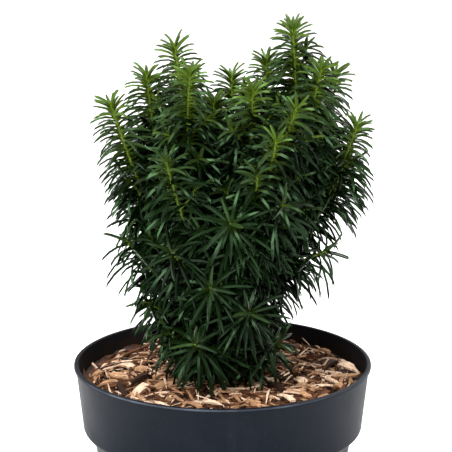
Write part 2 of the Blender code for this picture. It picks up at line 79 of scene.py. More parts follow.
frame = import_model()
POT_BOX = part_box("pot")
SOIL_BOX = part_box("potting_soil")
TRUNK_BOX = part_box("trunk")
FOLIAGE_NODES = sorted(name for name in frame["nodes"] if name.startswith("foliage_"))
BOUGH_NODES = sorted(name for name in frame["nodes"] if name.startswith("bough_"))

# The pot: outer radii and heights of its band, shoulder and body.
POT_HEIGHT = POT_BOX[1].z
RIM_RADIUS = 0.0950
RIM_LIP = 0.0022
BAND_TOP_RADIUS = 0.0937
BAND_FOOT_RADIUS = 0.0896
BAND_FOOT_HEIGHT = 0.1095
SHOULDER_RADIUS = 0.0825
SHOULDER_HEIGHT = 0.1018
BASE_RADIUS = 0.0670
BASE_CHAMFER = 0.0025
WALL = 0.0016
FLOOR = 0.0030
FLOOR_CORNER = 0.0015
INNER_LIP_ROUND = 0.0005
OUTER_LIP_ROUND = 0.0010
LIP_NECK = 0.0004
BAND_FOOT_ROUND = 0.0042
BAND_FOOT_SWEEP = 52.0
BAND_FOOT_EASE = 0.0012
BAND_FOOT_PROUD = 0.0001
POT_SHARP_ANGLE = 40.0
DRAIN_HOLES = 8
DRAIN_HOLE_SIDES = 32
DRAIN_HOLE_RADIUS = 0.0045
DRAIN_CIRCLE_RADIUS = 0.0500
# How far out and up from the shoulder the curve between it and the band passes.
SHOULDER_CURVE = ((0.0024, 0.0012), (0.0012, 0.0002), (0.0004, -0.0008), (0.0, -0.0022))
# Dried soil on the wall's inner side fades in between these two depths below the mulch's level.
STAIN_FOOT = 0.012
STAIN_FULL = 0.008
STAIN_EDGE = 0.0003

# The mulch's uneven top, as in the frame.
SOIL_TOP = SOIL_BOX[1].z
MULCH_LEVEL = 0.1385
MULCH_BUMP = 0.0018
MULCH_BUMPS_PER_METRE = 70.0
MULCH_MOUND = 0.0035
MULCH_MOUND_RADIUS = 0.045

# The crumbs and chips of the mulch: how fine they are, and how near they come to what is round them.
CRUMB_GAP = 0.0006
CRUMBS_PER_METRE = 260.0
CRUMB_OVERLAP = 0.0012
BOTTOM_GAP = 0.0003
CHIP_WALL_GAP = 0.0045
CHIP_TRUNK_GAP = 0.004
# Chips lie in any direction as far out as this, and along the wall from the second radius on.
FREE_RADIUS = 0.058
ALONG_WALL_RADIUS = 0.080

# The trunk and the rule for the shoots' paths, as in the frame.
TRUNK_X = 0.006
TRUNK_Y = 0.0
TRUNK_TIP = TRUNK_BOX[1].z
TRUNK_LEAN = 0.004
TRUNK_FLARE_RADIUS = 0.0068
TRUNK_FOOT_RADIUS = 0.0046
TRUNK_TIP_RADIUS = 0.0026
FLARE_HEIGHT = 0.012
FIRST_FORK = 0.1480
LAST_FORK = 0.2560
FLATTEST = 34.0
STEEPEST = 86.0
FORK_POWER = 2.0
LEADER_LEAVING_ELEVATION = 34.0
LEADER_LEAVING_PULL = 0.36
LEADER_ARRIVING_PULL = 0.48
SIDE_LEAST_LEAVING = 12.0
SIDE_MOST_LEAVING = 62.0
SIDE_LEAVING_PULL = 0.34
SIDE_ARRIVING_PULL = 0.36
# How far a stem ends before its outermost needle, and the side shoots that differ from their kind.
STEM_TIP_SHORT = 0.011
UPRIGHT_TIP_SHORT = 0.0075
LEADER_TIP_SHORT = 0.0068
OWN_TIP_SHORT = {
    "outer_left": 0.004,
    "outer_right": -0.003,
    "low_left": 0.003,
    "low_right": 0.006,
    "foot_left": 0.003,
    "foot_right": 0.034,
    "foot_back_left": 0.006,
}
# How far up its path a shoot has no needles, where that is more than its bare foot.
OWN_LEAFLESS = {"far_right": 0.64, "outer_right": 0.60}
UPRIGHT_ELEVATION = 60.0
BARE_LEADER = 0.30
BARE_SIDE = 0.26
BARE_TWIG = 0.12
# A bough's radius at the trunk, and its share of that where the leafy shoot begins.
BOUGH_RADIUS = 0.0019
BOUGH_TAPER = 0.78

# Side twigs: the shares of a shoot between which they leave it, the heights and distances from the
# trunk's axis that their tips keep to, and how far that shifts to the left low down.
TWIG_LOWEST = 0.24
TWIG_HIGHEST_LEADER = 0.78
TWIG_HIGHEST_SIDE = 0.80
TWIG_CEILING = 0.322
TWIG_LOW = 0.190
TWIG_HIGH = 0.270
TWIG_LOW_REACH = 0.040
TWIG_HIGH_REACH = 0.065
TWIG_LEFTWARDS = 0.22
TWIG_CLEARANCE = 0.008
TWIG_SHORTEST = 0.55
TWIG_PULLS = (0.33, 0.33)
TWIG_LEAVING_ALONG = 0.55
TWIG_LEAVING_OUTWARD = 0.85
TWIG_AIM_ALONG = 0.50
TWIG_AIM_OUTWARD = 0.62
TWIG_AIM_UP = 0.34
SPRIG_LEAVING_ALONG = 0.6
SPRIG_LEAVING_OUTWARD = 0.8

# Leaders: name, x, y and z of the topmost needle, and the elevation in degrees of the stem's end.
LEADERS = (
    ("far_left", -0.071, -0.008, 0.3245, 72.0),
    ("left", -0.048, 0.016, 0.3390, 85.0),
    ("left_tall", -0.031, 0.022, 0.3570, 80.0),
    ("left_front", -0.019, -0.017, 0.3465, 96.0),
    ("middle_back", 0.006, 0.042, 0.3340, 80.0),
    ("middle_low", -0.006, 0.016, 0.3220, 85.0),
    ("middle_right", 0.028, 0.010, 0.3495, 87.0),
    ("middle_front", 0.019, -0.023, 0.3370, 84.0),
    ("tallest", 0.042, -0.006, 0.3720, 96.0),
    ("right", 0.062, -0.018, 0.3485, 76.0),
    ("right_back", 0.073, 0.025, 0.3390, 73.0),
    ("far_right", 0.086, -0.004, 0.3110, 71.0),
    ("back_left", -0.030, 0.058, 0.3230, 74.0),
    ("back_right", 0.051, 0.056, 0.3190, 73.0),
)

# Side shoots: name, x, y and z of the outermost needle, and the elevation in degrees of the stem's end.
SIDE_SHOOTS = (
    ("upper_front_right", 0.0467, -0.0480, 0.3295, 63.0),
    ("upper_front", 0.0332, -0.0573, 0.3123, 71.0),
    ("upper_front_left", -0.0350, -0.0570, 0.2995, 70.0),
    ("upper_front_middle", 0.0220, -0.0605, 0.2927, 68.0),
    ("outer_left", -0.0590, -0.0080, 0.2490, 50.0),
    ("outer_right", 0.0790, 0.0162, 0.2710, 52.0),
    ("front_middle", 0.0050, -0.0806, 0.2618, 20.0),
    ("front_right", 0.0406, -0.0663, 0.2727, 33.0),
    ("front_left", -0.0360, -0.0616, 0.2450, 42.0),
    ("low_left", -0.0614, -0.0221, 0.2373, 52.0),
    ("low_right", 0.0708, -0.0251, 0.2309, 20.0),
    ("low_front_left", -0.0096, -0.0721, 0.2199, 20.0),
    ("low_front_right", 0.0178, -0.0701, 0.2039, 22.0),
    ("foot_left", -0.0500, -0.0160, 0.1960, 35.0),
    ("foot_right", 0.0520, -0.0125, 0.1980, 28.0),
    ("foot_front", -0.0200, -0.0660, 0.1858, 35.0),
    ("foot_front_right", 0.0400, -0.0460, 0.1790, 28.0),
    ("foot_front_left", -0.0400, -0.0293, 0.1840, 43.0),
    ("foot_back_right", 0.0239, 0.0507, 0.1760, 29.0),
    ("foot_back_left", -0.0460, 0.0130, 0.1850, 30.0),
)

# Side shoots at the back, placed by rule, each at another level than its neighbours.
BACK_SHOOTS = 7
BACK_FIRST_AZIMUTH = 40.0
BACK_LAST_AZIMUTH = 137.0
BACK_LOW = 0.190
BACK_HIGH = 0.296
BACK_LEVEL_STRIDE = 3
BACK_LEVEL_SHIFT = 1
BACK_LOW_REACH = 0.0585
BACK_HIGH_REACH = 0.0775
BACK_LOW_ELEVATION = 36.0
BACK_HIGH_ELEVATION = 74.0

# Sprigs: their shoot, where along it they leave, x, y and z of the stem's end, and its elevation.
SPRIGS = (
    ("tallest", 0.80, 0.0508, 0.0000, 0.3520, 80.0),
    ("tallest", 0.72, 0.0575, 0.0060, 0.3370, 76.0),
    ("far_left", 0.55, -0.0580, -0.0120, 0.2700, 25.0),
    ("far_right", 0.66, 0.0800, -0.0060, 0.2815, 24.0),
)

GOLDEN_ANGLE = math.radians(137.508)
UP = Vector((0.0, 0.0, 1.0))
FRONT = Vector((0.0, -1.0, 0.0))
MOST_TRIANGLES = 190000


def length_property(name, description, default):
    return FloatProperty(
        name=name, description=description, default=default, min=0.0, unit="LENGTH", precision=5
    )


def colour_property(name, description, default):
    return FloatVectorProperty(
        name=name, description=description, default=default, size=3, min=0.0, max=1.0, subtype="COLOR"
    )


class PotSettings(PropertyGroup):
    """Size and colour of the pot's finish."""

    steps: IntProperty(name="Steps", description="Flats round the pot", default=160, min=24)
    plastic: colour_property("Plastic", "Colour of the clean plastic", (0.0038, 0.0060, 0.0104))
    dust: colour_property("Dust", "Colour of the fine dust on the plastic", (0.060, 0.062, 0.068))
    # Edge: the colour of a painted highlight along the lip's outer edge and top.
    edge: colour_property("Edge", "Colour of the lip's rubbed edge", (0.070, 0.080, 0.098))
    soiling: colour_property("Soiling", "Colour of the dried soil inside the rim", (0.016, 0.010, 0.007))
    grain: length_property("Grain", "Height of the moulded grain", 0.00004)


class MulchSettings(PropertyGroup):
    """Sizes and colours of the bark and wood chips on the soil."""

    rings: IntProperty(name="Rings", description="Rings of the crumb surface", default=64, min=8)
    steps: IntProperty(name="Steps", description="Spokes of the crumb surface", default=200, min=24)
    crumb: length_property("Crumb", "Height of the fine crumbs", 0.0022)
    sliver_length: length_property("Sliver length", "Mean length of a sliver", 0.0125)
    sliver_width: length_property("Sliver width", "Mean width of a sliver", 0.0011)
    sliver_thickness: length_property("Sliver thickness", "Mean thickness of a sliver", 0.0007)
    chip_length: length_property("Chip length", "Mean length of a broad chip", 0.0115)
    chip_width: length_property("Chip width", "Mean width of a broad chip", 0.0042)
    chip_thickness: length_property("Chip thickness", "Mean thickness of a broad chip", 0.0014)
    crumbs: colour_property("Crumbs", "Colour of the dark crumbs", (0.040, 0.017, 0.008))
    cream: colour_property("Cream wood", "Colour of fresh wood", (0.900, 0.640, 0.450))
    tan: colour_property("Tan wood", "Colour of wood that has dried", (0.520, 0.290, 0.155))
    rust: colour_property("Inner bark", "Colour of the bark's inner side", (0.140, 0.056, 0.025))
    dark: colour_property("Outer bark", "Colour of the bark's outer side", (0.034, 0.017, 0.010))


class TwigSettings(PropertyGroup):
    """Sizes and colours of the trunk, boughs and twigs."""

    stem_radius: length_property("Stem radius", "Radius of a shoot's stem above its bare foot", 0.00125)
    stem_tip_radius: length_property("Stem tip radius", "Radius of a stem at its tip", 0.00085)
    twig_radius: length_property("Twig radius", "Radius of a side twig's foot", 0.00090)
    twig_length: length_property("Twig length", "Length of the longest side twigs", 0.034)
    twig_pitch: length_property("Twig pitch", "Distance between side twigs on a shoot", 0.0085)
    lime_span: length_property("Lime span", "Length of bright new stem below a tip", 0.044)
    green_span: length_property("Green span", "Length of green stem below the bright part", 0.045)
    lime: colour_property("New stem", "Colour of this year's stem", (0.100, 0.160, 0.006))
    green: colour_property("Green stem", "Colour of last year's stem", (0.048, 0.075, 0.014))
    brown: colour_property("Brown stem", "Colour of older stem", (0.070, 0.036, 0.018))
    bark: colour_property("Bark", "Colour of the trunk's bark plates", (0.210, 0.105, 0.058))
    crevice: colour_property("Crevice", "Colour between the bark plates", (0.060, 0.028, 0.018))


class NeedleSettings(PropertyGroup):
    """Sizes and colours of the needles."""

    scale: FloatProperty(name="Scale", description="Factor on the length", default=1.0, min=0.1)
    width: length_property("Width", "Width of a grown needle", 0.00262)
    thickness: length_property("Thickness", "Thickness of a needle at its midrib", 0.00105)
    young: colour_property("Young needle", "Colour at the tips", (0.048, 0.085, 0.010))
    fresh: colour_property("Fresh needle", "Colour just below the tips", (0.0150, 0.0300, 0.0070))
    grown: colour_property("Grown needle", "Colour of most needles", (0.0020, 0.0070, 0.0011))
    # The darkest needle colour is painted shade inside the crown on needles near the trunk's axis, and
    # the own darker tone of shoots with a low mood.
    deep: colour_property("Deep needle", "Colour of needles inside the crown", (0.0006, 0.0022, 0.0004))
    foot: colour_property("Needle foot", "Colour of a needle's foot on new stem", (0.070, 0.112, 0.006))


class StageSettings(PropertyGroup):
    """The camera, the floor and the light."""

    camera_place: FloatVectorProperty(
        name="Camera place",
        description="Where the camera stands",
        default=(0.0022, -1.2357, 0.5539),
        unit="LENGTH",
    )
    camera_dip: FloatProperty(name="Camera dip", description="Degrees below the horizon", default=14.3)
    lens: FloatProperty(name="Lens", description="Focal length in millimetres", default=161.28)
    floor_radius: length_property("Floor radius", "Radius of the pale floor", 8.0)
    sky: FloatProperty(name="Sky", description="Strength of the even light", default=0.70)
    glow: FloatProperty(name="Floor glow", description="Strength of the floor's own white", default=0.52)
    key: FloatProperty(name="Key light", description="Power of the large lamp in watts", default=60.0)
    fill: FloatProperty(name="Fill light", description="Power of the side lamps in watts", default=14.0)


class Value:
    """A node's output socket, whose arithmetic adds Math nodes."""

    def __init__(self, graph, socket):
        self.graph = graph
        self.socket = socket

    def __add__(self, other):
        return self.graph.math("ADD", self, other)

    def __radd__(self, other):
        return self.graph.math("ADD", other, self)

    def __sub__(self, other):
        return self.graph.math("SUBTRACT", self, other)

    def __rsub__(self, other):
        return self.graph.math("SUBTRACT", other, self)

    def __mul__(self, other):
        return self.graph.math("MULTIPLY", self, other)

    def __rmul__(self, other):
        return self.graph.math("MULTIPLY", other, self)

    def between(self, low, high):
        """0 below low and 1 above high, easing in and out between them."""
        sockets = {"Value": self, "From Min": low, "From Max": high}
        return self.graph.node("ShaderNodeMapRange", {"interpolation_type": "SMOOTHSTEP"}, sockets)


class Graph:
    """A node tree being built."""

    def __init__(self, tree):
        self.tree = tree
        tree.nodes.clear()

    def node(self, kind, settings=None, sockets=None, output=0):
        made = self.tree.nodes.new(kind)
        for key, value in (settings or {}).items():
            setattr(made, key, value)
        for key, value in (sockets or {}).items():
            self.feed(made.inputs[key], value)
        return Value(self, made.outputs[output])

    def math(self, operation, *operands):
        return self.node("ShaderNodeMath", {"operation": operation}, dict(enumerate(operands)))

    def feed(self, socket, value):
        if isinstance(value, Value):
            self.tree.links.new(value.socket, socket)
        else:
            socket.default_value = value


class Finish(Graph):
    """A material with one Principled shader."""

    def __init__(self, name, roughness):
        self.material = bpy.data.materials.new(name)
        self.material.use_nodes = True
        super().__init__(self.material.node_tree)
        self.shader = self.tree.nodes.new("ShaderNodeBsdfPrincipled")
        output = self.tree.nodes.new("ShaderNodeOutputMaterial")
        self.tree.links.new(self.shader.outputs[0], output.inputs[0])
        self.set("Roughness", roughness)
        self.place = self.node("ShaderNodeTexCoord", output="Object")

    def set(self, socket, value):
        self.feed(self.shader.inputs[socket], value)

    def noise(self, scale, detail, place=None):
        sockets = {"Vector": place or self.place, "Scale": scale, "Detail": detail}
        return self.node("ShaderNodeTexNoise", None, sockets)

    def stretched(self, scales, place=None):
        return self.node("ShaderNodeMapping", None, {"Vector": place or self.place, "Scale": scales})

    def attribute(self, name):
        return self.node("ShaderNodeAttribute", {"attribute_name": name}, output="Fac")

    def mix(self, share, low, high):
        """The first colour where share is 0 and the second where it is 1."""
        low, high = (end if isinstance(end, Value) else (*end, 1.0) for end in (low, high))
        return self.node("ShaderNodeMix", {"data_type": "RGBA"}, {0: share, 6: low, 7: high}, output=2)

    def bump(self, height, distance):
        self.set("Normal", self.node("ShaderNodeBump", None, {"Height": height, "Distance": distance}))


def blend(low, high, share):
    return low + (high - low) * share


def smoothly(low, high, share):
    """A value between low and high that eases in and out as share goes from 0 to 1."""
    share = min(1.0, max(0.0, share))
    return blend(low, high, share * share * (3.0 - 2.0 * share))


def shaded(colour, factor):
    """The colour made lighter or darker."""
    return tuple(min(1.0, part * factor) for part in colour)


def placed(name, data):
    """A new object in the scene."""
    obj = bpy.data.objects.new(name, data)
    bpy.context.scene.collection.objects.link(obj)
    return obj


def add_piece(name, mesh, material, slot, *nodes):
    """A finished piece: linked, given its material and attached to the root body, while the frame nodes
    it stands for are hidden.
    """
    piece = placed(name, mesh)
    mesh.materials.clear()
    mesh.materials.append(material)
    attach(piece, "root")
    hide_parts(*nodes)


def plain_mesh(obj, name):
    """The object's mesh as its modifiers make it. The object is removed."""
    bpy.context.view_layer.update()
    graph = bpy.context.evaluated_depsgraph_get()
    mesh = bpy.data.meshes.new_from_object(obj.evaluated_get(graph))
    mesh.name = name
    bpy.data.objects.remove(obj)
    return mesh


def mesh_from_cage(name, cage):
    """The editable mesh as a plain one. The editable mesh is freed."""
    mesh = bpy.data.meshes.new(name)
    cage.to_mesh(mesh)
    cage.free()
    return mesh


def smoothed(mesh, sharp_angle):
    """The mesh shaded smooth, but for edges sharper than an angle in degrees."""
    mesh.shade_smooth()
    mesh.set_sharp_from_angle(angle=math.radians(sharp_angle))
    return mesh


def mesh_from_arrays(name, vertices, quads, triangles):
    """A mesh from arrays of places and of corners, quads before triangles."""
    mesh = bpy.data.meshes.new(name)
    mesh.vertices.add(len(vertices))
    mesh.vertices.foreach_set("co", vertices.astype(np.float32).ravel())
    corners = np.concatenate([quads.ravel(), triangles.ravel()])
    mesh.loops.add(len(corners))
    mesh.loops.foreach_set("vertex_index", corners.astype(np.int32))
    starts = np.concatenate([np.arange(len(quads)) * 4, len(quads) * 4 + np.arange(len(triangles)) * 3])
    mesh.polygons.add(len(starts))
    mesh.polygons.foreach_set("loop_start", starts.astype(np.int32))
    mesh.update(calc_edges=True)
    return mesh


class Heap:
    """Vertices and faces of many closed pieces, gathered for one mesh."""

    def __init__(self):
        self.vertices = []
        self.quads = []
        self.triangles = []
        self.count = 0

    def add(self, vertices, quads, triangles):
        self.vertices.append(vertices)
        self.quads.append(quads + self.count)
        self.triangles.append(triangles + self.count)
        self.count += len(vertices)

    def mesh(self, name, sharp_angle):
        arrays = [np.concatenate(rows) for rows in (self.vertices, self.quads, self.triangles)]
        return smoothed(mesh_from_arrays(name, *arrays), sharp_angle)


def add_tube(heap, points, radii, sides, relief):
    """A closed tapering tube. relief gives the radius's factor for a ring's number and an angle."""
    frames = []
    across = None
    for i, point in enumerate(points):
        along = (points[min(i + 1, len(points) - 1)] - points[max(i - 1, 0)]).normalized()
        across = along.orthogonal() if across is None else across - along * across.dot(along)
        across.normalize()
        frames.append((point, across.copy(), along.cross(across)))
    vertices = []
    for i, (point, first, second) in enumerate(frames):
        for k in range(sides):
            angle = 2.0 * math.pi * k / sides
            spoke = first * math.cos(angle) + second * math.sin(angle)
            vertices.append(point + spoke * (radii[i] * relief(i, angle)))
    rings = len(points)
    vertices += [points[0], points[-1]]
    quads = []
    triangles = []
    for k in range(sides):
        after = (k + 1) % sides
        triangles.append((rings * sides, after, k))
        triangles.append((rings * sides + 1, (rings - 1) * sides + k, (rings - 1) * sides + after))
        for i in range(rings - 1):
            low, high = i * sides, (i + 1) * sides
            quads.append((low + k, low + after, high + after, high + k))
    heap.add(np.array(vertices), np.array(quads), np.array(triangles))


def wall_inside(height):
    """The inner radius of the pot's wall at a height."""
    outer = (
        (BASE_CHAMFER, BASE_RADIUS),
        (SHOULDER_HEIGHT, SHOULDER_RADIUS),
        (BAND_FOOT_HEIGHT, BAND_FOOT_RADIUS),
        (POT_HEIGHT, BAND_TOP_RADIUS),
    )
    for (low, narrow), (high, wide) in zip(outer, outer[1:]):
        if height <= high:
            return blend(narrow, wide, (height - low) / (high - low)) - WALL
    return BAND_TOP_RADIUS - WALL


def mulch_height(x, y):
    """The height of the mulch's uneven top, which rises a little towards the trunk."""
    radius = math.hypot(x - TRUNK_X, y - TRUNK_Y)
    mound = MULCH_MOUND * math.exp(-((radius / MULCH_MOUND_RADIUS) ** 2))
    bump = MULCH_BUMP * noise.noise(Vector((x, y, 0.0)) * MULCH_BUMPS_PER_METRE)
    return MULCH_LEVEL + mound + bump


def trunk_point(height):
    """A point of the trunk's axis, which stands upright at its foot and then leans to the left."""
    share = max(0.0, height - SOIL_TOP - FLARE_HEIGHT) / (TRUNK_TIP - SOIL_TOP)
    lean = TRUNK_LEAN * share * share
    return Vector((TRUNK_X - lean, TRUNK_Y + 0.5 * lean, height))


def trunk_radius(height):
    """The trunk's radius at a height: an even taper with a flare at the foot."""
    flare = math.exp(-(height - SOIL_TOP) / FLARE_HEIGHT)
    share = (height - SOIL_TOP) / (TRUNK_TIP - SOIL_TOP)
    plain = blend(TRUNK_FOOT_RADIUS, TRUNK_TIP_RADIUS, share)
    return plain + (TRUNK_FLARE_RADIUS - TRUNK_FOOT_RADIUS) * flare


PATH_STEPS = 40
SHORT_STEP = 0.01


class Path:
    """A cubic curve through space. pulls say how far it keeps its first and last directions."""

    def __init__(self, base, leave, aim, end, pulls):
        span = (end - base).length
        self.knots = (base, base + leave * span * pulls[0], end - aim * span * pulls[1], end)
        points = [self.at(i / PATH_STEPS) for i in range(PATH_STEPS + 1)]
        self.length = sum((b - a).length for a, b in zip(points, points[1:]))

    def at(self, share):
        """The point at a share of the way."""
        a, b, c, d = self.knots
        rest = 1.0 - share
        return a * rest**3 + b * (3.0 * rest**2 * share) + c * (3.0 * rest * share**2) + d * share**3

    def along(self, share):
        """The path's direction at a share of its way."""
        ahead, behind = min(1.0, share + SHORT_STEP), max(0.0, share - SHORT_STEP)
        return (self.at(ahead) - self.at(behind)).normalized()


def direction(outward, elevation):
    """A unit vector at an elevation in degrees over a level one."""
    angle = math.radians(elevation)
    return outward * math.cos(angle) + UP * math.sin(angle)


class Shoot(Path):
    """One shoot's path from the trunk's axis to its tip, by the frame's rule."""

    def __init__(self, name, tip, elevation, leader):
        self.name = name
        self.leader = leader
        self.upright = elevation > UPRIGHT_ELEVATION
        self.bare = BARE_LEADER if leader else BARE_SIDE
        self.leafless = OWN_LEAFLESS.get(name, self.bare)
        tip = Vector(tip)
        flat = Vector((tip.x - TRUNK_X, tip.y - TRUNK_Y, 0.0))
        reach = flat.length
        outward = flat.normalized()
        steepness = math.degrees(math.atan2(tip.z - SOIL_TOP, reach))
        fork = max(0.0, (steepness - FLATTEST) / (STEEPEST - FLATTEST)) ** FORK_POWER
        base = trunk_point(blend(FIRST_FORK, LAST_FORK, fork))
        aim = direction(outward, elevation)
        short = LEADER_TIP_SHORT if leader else UPRIGHT_TIP_SHORT if self.upright else STEM_TIP_SHORT
        end = tip - aim * OWN_TIP_SHORT.get(name, short)
        if leader:
            leaving = LEADER_LEAVING_ELEVATION
            pulls = (LEADER_LEAVING_PULL, LEADER_ARRIVING_PULL)
        else:
            straight = math.degrees(math.atan2(end.z - base.z, reach))
            leaving = min(SIDE_MOST_LEAVING, max(SIDE_LEAST_LEAVING, 2.0 * straight - elevation))
            pulls = (SIDE_LEAVING_PULL, SIDE_ARRIVING_PULL)
        super().__init__(base, direction(outward, leaving), aim, end, pulls)


class Twig(Path):
    """A side twig that leaves a shoot and turns up towards the light."""

    def __init__(self, shoot, share, turn, length):
        axis = shoot.along(share)
        outward = Matrix.Rotation(turn, 3, axis) @ axis.orthogonal().normalized()
        leave = (axis * TWIG_LEAVING_ALONG + outward * TWIG_LEAVING_OUTWARD).normalized()
        aim = (axis * TWIG_AIM_ALONG + outward * TWIG_AIM_OUTWARD + UP * TWIG_AIM_UP).normalized()
        base = shoot.at(share)
        super().__init__(base, leave, aim, base + (leave + aim) * length * 0.5, TWIG_PULLS)
        self.leafless = BARE_TWIG
        self.reaching = False


class Sprig(Path):
    """A twig whose tip has its own place, for the few in sight that stand out from the crown."""

    def __init__(self, shoot, share, tip, elevation):
        base = shoot.at(share)
        tip = Vector(tip)
        outward = Vector((tip.x - base.x, tip.y - base.y, 0.0)).normalized()
        aim = direction(outward, elevation)
        leave = shoot.along(share) * SPRIG_LEAVING_ALONG + outward * SPRIG_LEAVING_OUTWARD
        super().__init__(base, leave.normalized(), aim, tip, TWIG_PULLS)
        self.leafless = BARE_TWIG
        self.reaching = elevation < UPRIGHT_ELEVATION


def back_shoots():
    """Side shoots at the back, in the same order of values as the table of side shoots."""
    for i in range(BACK_SHOOTS):
        azimuth = math.radians(blend(BACK_FIRST_AZIMUTH, BACK_LAST_AZIMUTH, i / (BACK_SHOOTS - 1)))
        level = ((i + BACK_LEVEL_SHIFT) * BACK_LEVEL_STRIDE % BACK_SHOOTS) / (BACK_SHOOTS - 1)
        reach = blend(BACK_LOW_REACH, BACK_HIGH_REACH, level)
        x = TRUNK_X + reach * math.cos(azimuth)
        y = TRUNK_Y + reach * math.sin(azimuth)
        elevation = blend(BACK_LOW_ELEVATION, BACK_HIGH_ELEVATION, level)
        yield f"back_{i + 1}", x, y, blend(BACK_LOW, BACK_HIGH, level), elevation


def all_shoots():
    """Every shoot: the leaders, then the side shoots of the table, then those at the back."""
    rows = [(row, True) for row in LEADERS] + [(row, False) for row in (*SIDE_SHOOTS, *back_shoots())]
    return [Shoot(name, (x, y, z), elevation, leader) for (name, x, y, z, elevation), leader in rows]


def side_twigs(shoot, settings):
    """Side twigs in a spiral along a shoot, shorter towards its tip."""
    rng = random.Random(f"twigs {shoot.name}")
    turn = rng.uniform(0.0, 2.0 * math.pi)
    highest = TWIG_HIGHEST_LEADER if shoot.leader else TWIG_HIGHEST_SIDE
    share = TWIG_LOWEST
    while share < highest:
        length = settings.twig_length * blend(1.0, TWIG_SHORTEST, share / highest)
        twig = Twig(shoot, share, turn, length * rng.uniform(0.75, 1.15))
        tip = twig.at(1.0)
        clear = tip.z > mulch_height(tip.x, tip.y) + TWIG_CLEARANCE
        level = min(1.0, max(0.0, (tip.z - TWIG_LOW) / (TWIG_HIGH - TWIG_LOW)))
        away = math.hypot(tip.x - TRUNK_X, tip.y - TRUNK_Y)
        away += TWIG_LEFTWARDS * (1.0 - level) * (tip.x - TRUNK_X)
        inside = away < blend(TWIG_LOW_REACH, TWIG_HIGH_REACH, level)
        if clear and inside and tip.z < TWIG_CEILING:
            yield twig
        turn += GOLDEN_ANGLE * rng.uniform(0.95, 1.05)
        share += settings.twig_pitch / shoot.length
    for name, share, x, y, z, elevation in SPRIGS:
        if name == shoot.name:
            yield Sprig(shoot, share, (x, y, z), elevation)


def pot_profile():
    """The pot's outline at +X, from its inner floor over the lip to the middle of its underside."""
    top = POT_HEIGHT
    inner, outer, neck = INNER_LIP_ROUND, OUTER_LIP_ROUND, LIP_NECK
    points = [(0.0, FLOOR), (wall_inside(FLOOR) - FLOOR_CORNER, FLOOR)]
    points += [(wall_inside(FLOOR), FLOOR + FLOOR_CORNER)]
    points += [(wall_inside(z), z) for z in (SHOULDER_HEIGHT, BAND_FOOT_HEIGHT, top - outer)]
    points += arc(BAND_TOP_RADIUS - WALL + inner, top - inner, inner, 170.0, 90.0, 4)
    points += arc(RIM_RADIUS - outer, top - outer, outer, 90.0, 0.0, 6)
    points += arc(RIM_RADIUS - inner, top - RIM_LIP + inner, inner, 0.0, -90.0, 4)
    points += [(BAND_TOP_RADIUS + neck, top - RIM_LIP), (BAND_TOP_RADIUS, top - RIM_LIP - neck)]
    points += [(BAND_FOOT_RADIUS + BAND_FOOT_PROUD, BAND_FOOT_HEIGHT + BAND_FOOT_EASE)]
    centre = BAND_FOOT_RADIUS - BAND_FOOT_ROUND
    points += arc(centre, BAND_FOOT_HEIGHT, BAND_FOOT_ROUND, 0.0, -BAND_FOOT_SWEEP, 9)
    points += [(SHOULDER_RADIUS + x, SHOULDER_HEIGHT + z) for x, z in SHOULDER_CURVE]
    points += arc(BASE_RADIUS - BASE_CHAMFER, BASE_CHAMFER, BASE_CHAMFER, 0.0, -90.0, 6)
    return [*points, (0.0, 0.0)]


def arc(x, z, radius, start, end, steps):
    """Points along an arc of an outline, with its angles in degrees."""
    angles = [math.radians(blend(start, end, i / steps)) for i in range(steps + 1)]
    return [(x + radius * math.cos(angle), z + radius * math.sin(angle)) for angle in angles]


SCREW_WELD = 0.00001
POLE_WELD = 0.000001


def turned(name, profile, steps):
    """The mesh of a solid of revolution about Z."""
    mesh = bpy.data.meshes.new(name)
    edges = [(i, i + 1) for i in range(len(profile) - 1)]
    mesh.from_pydata([(radius, 0.0, height) for radius, height in profile], edges, [])
    obj = placed(name, mesh)
    screw = obj.modifiers.new("turn", "SCREW")
    screw.steps = steps
    screw.render_steps = steps
    screw.use_merge_vertices = True
    screw.merge_threshold = SCREW_WELD
    made = plain_mesh(obj, name)
    cage = bmesh.new()
    cage.from_mesh(made)
    bmesh.ops.remove_doubles(cage, verts=cage.verts, dist=POLE_WELD)
    bmesh.ops.recalc_face_normals(cage, faces=cage.faces)
    cage.to_mesh(made)
    cage.free()
    return made


def drilled(mesh, holes, radius, circle):
    """The mesh with a ring of round holes through its floor."""
    obj = placed(mesh.name, mesh)
    cage = bmesh.new()
    drill = {"cap_ends": True, "segments": DRAIN_HOLE_SIDES, "depth": 4.0 * FLOOR}
    drill.update(radius1=radius, radius2=radius)
    for i in range(holes):
        angle = 2.0 * math.pi * (i + 0.5) / holes
        place = Matrix.Translation((circle * math.cos(angle), circle * math.sin(angle), FLOOR / 2.0))
        bmesh.ops.create_cone(cage, **drill, matrix=place)
    cutter = placed("drills", mesh_from_cage("drills", cage))
    cut = obj.modifiers.new("drill", "BOOLEAN")
    cut.operation = "DIFFERENCE"
    cut.object = cutter
    made = plain_mesh(obj, mesh.name)
    bpy.data.objects.remove(cutter)
    return made


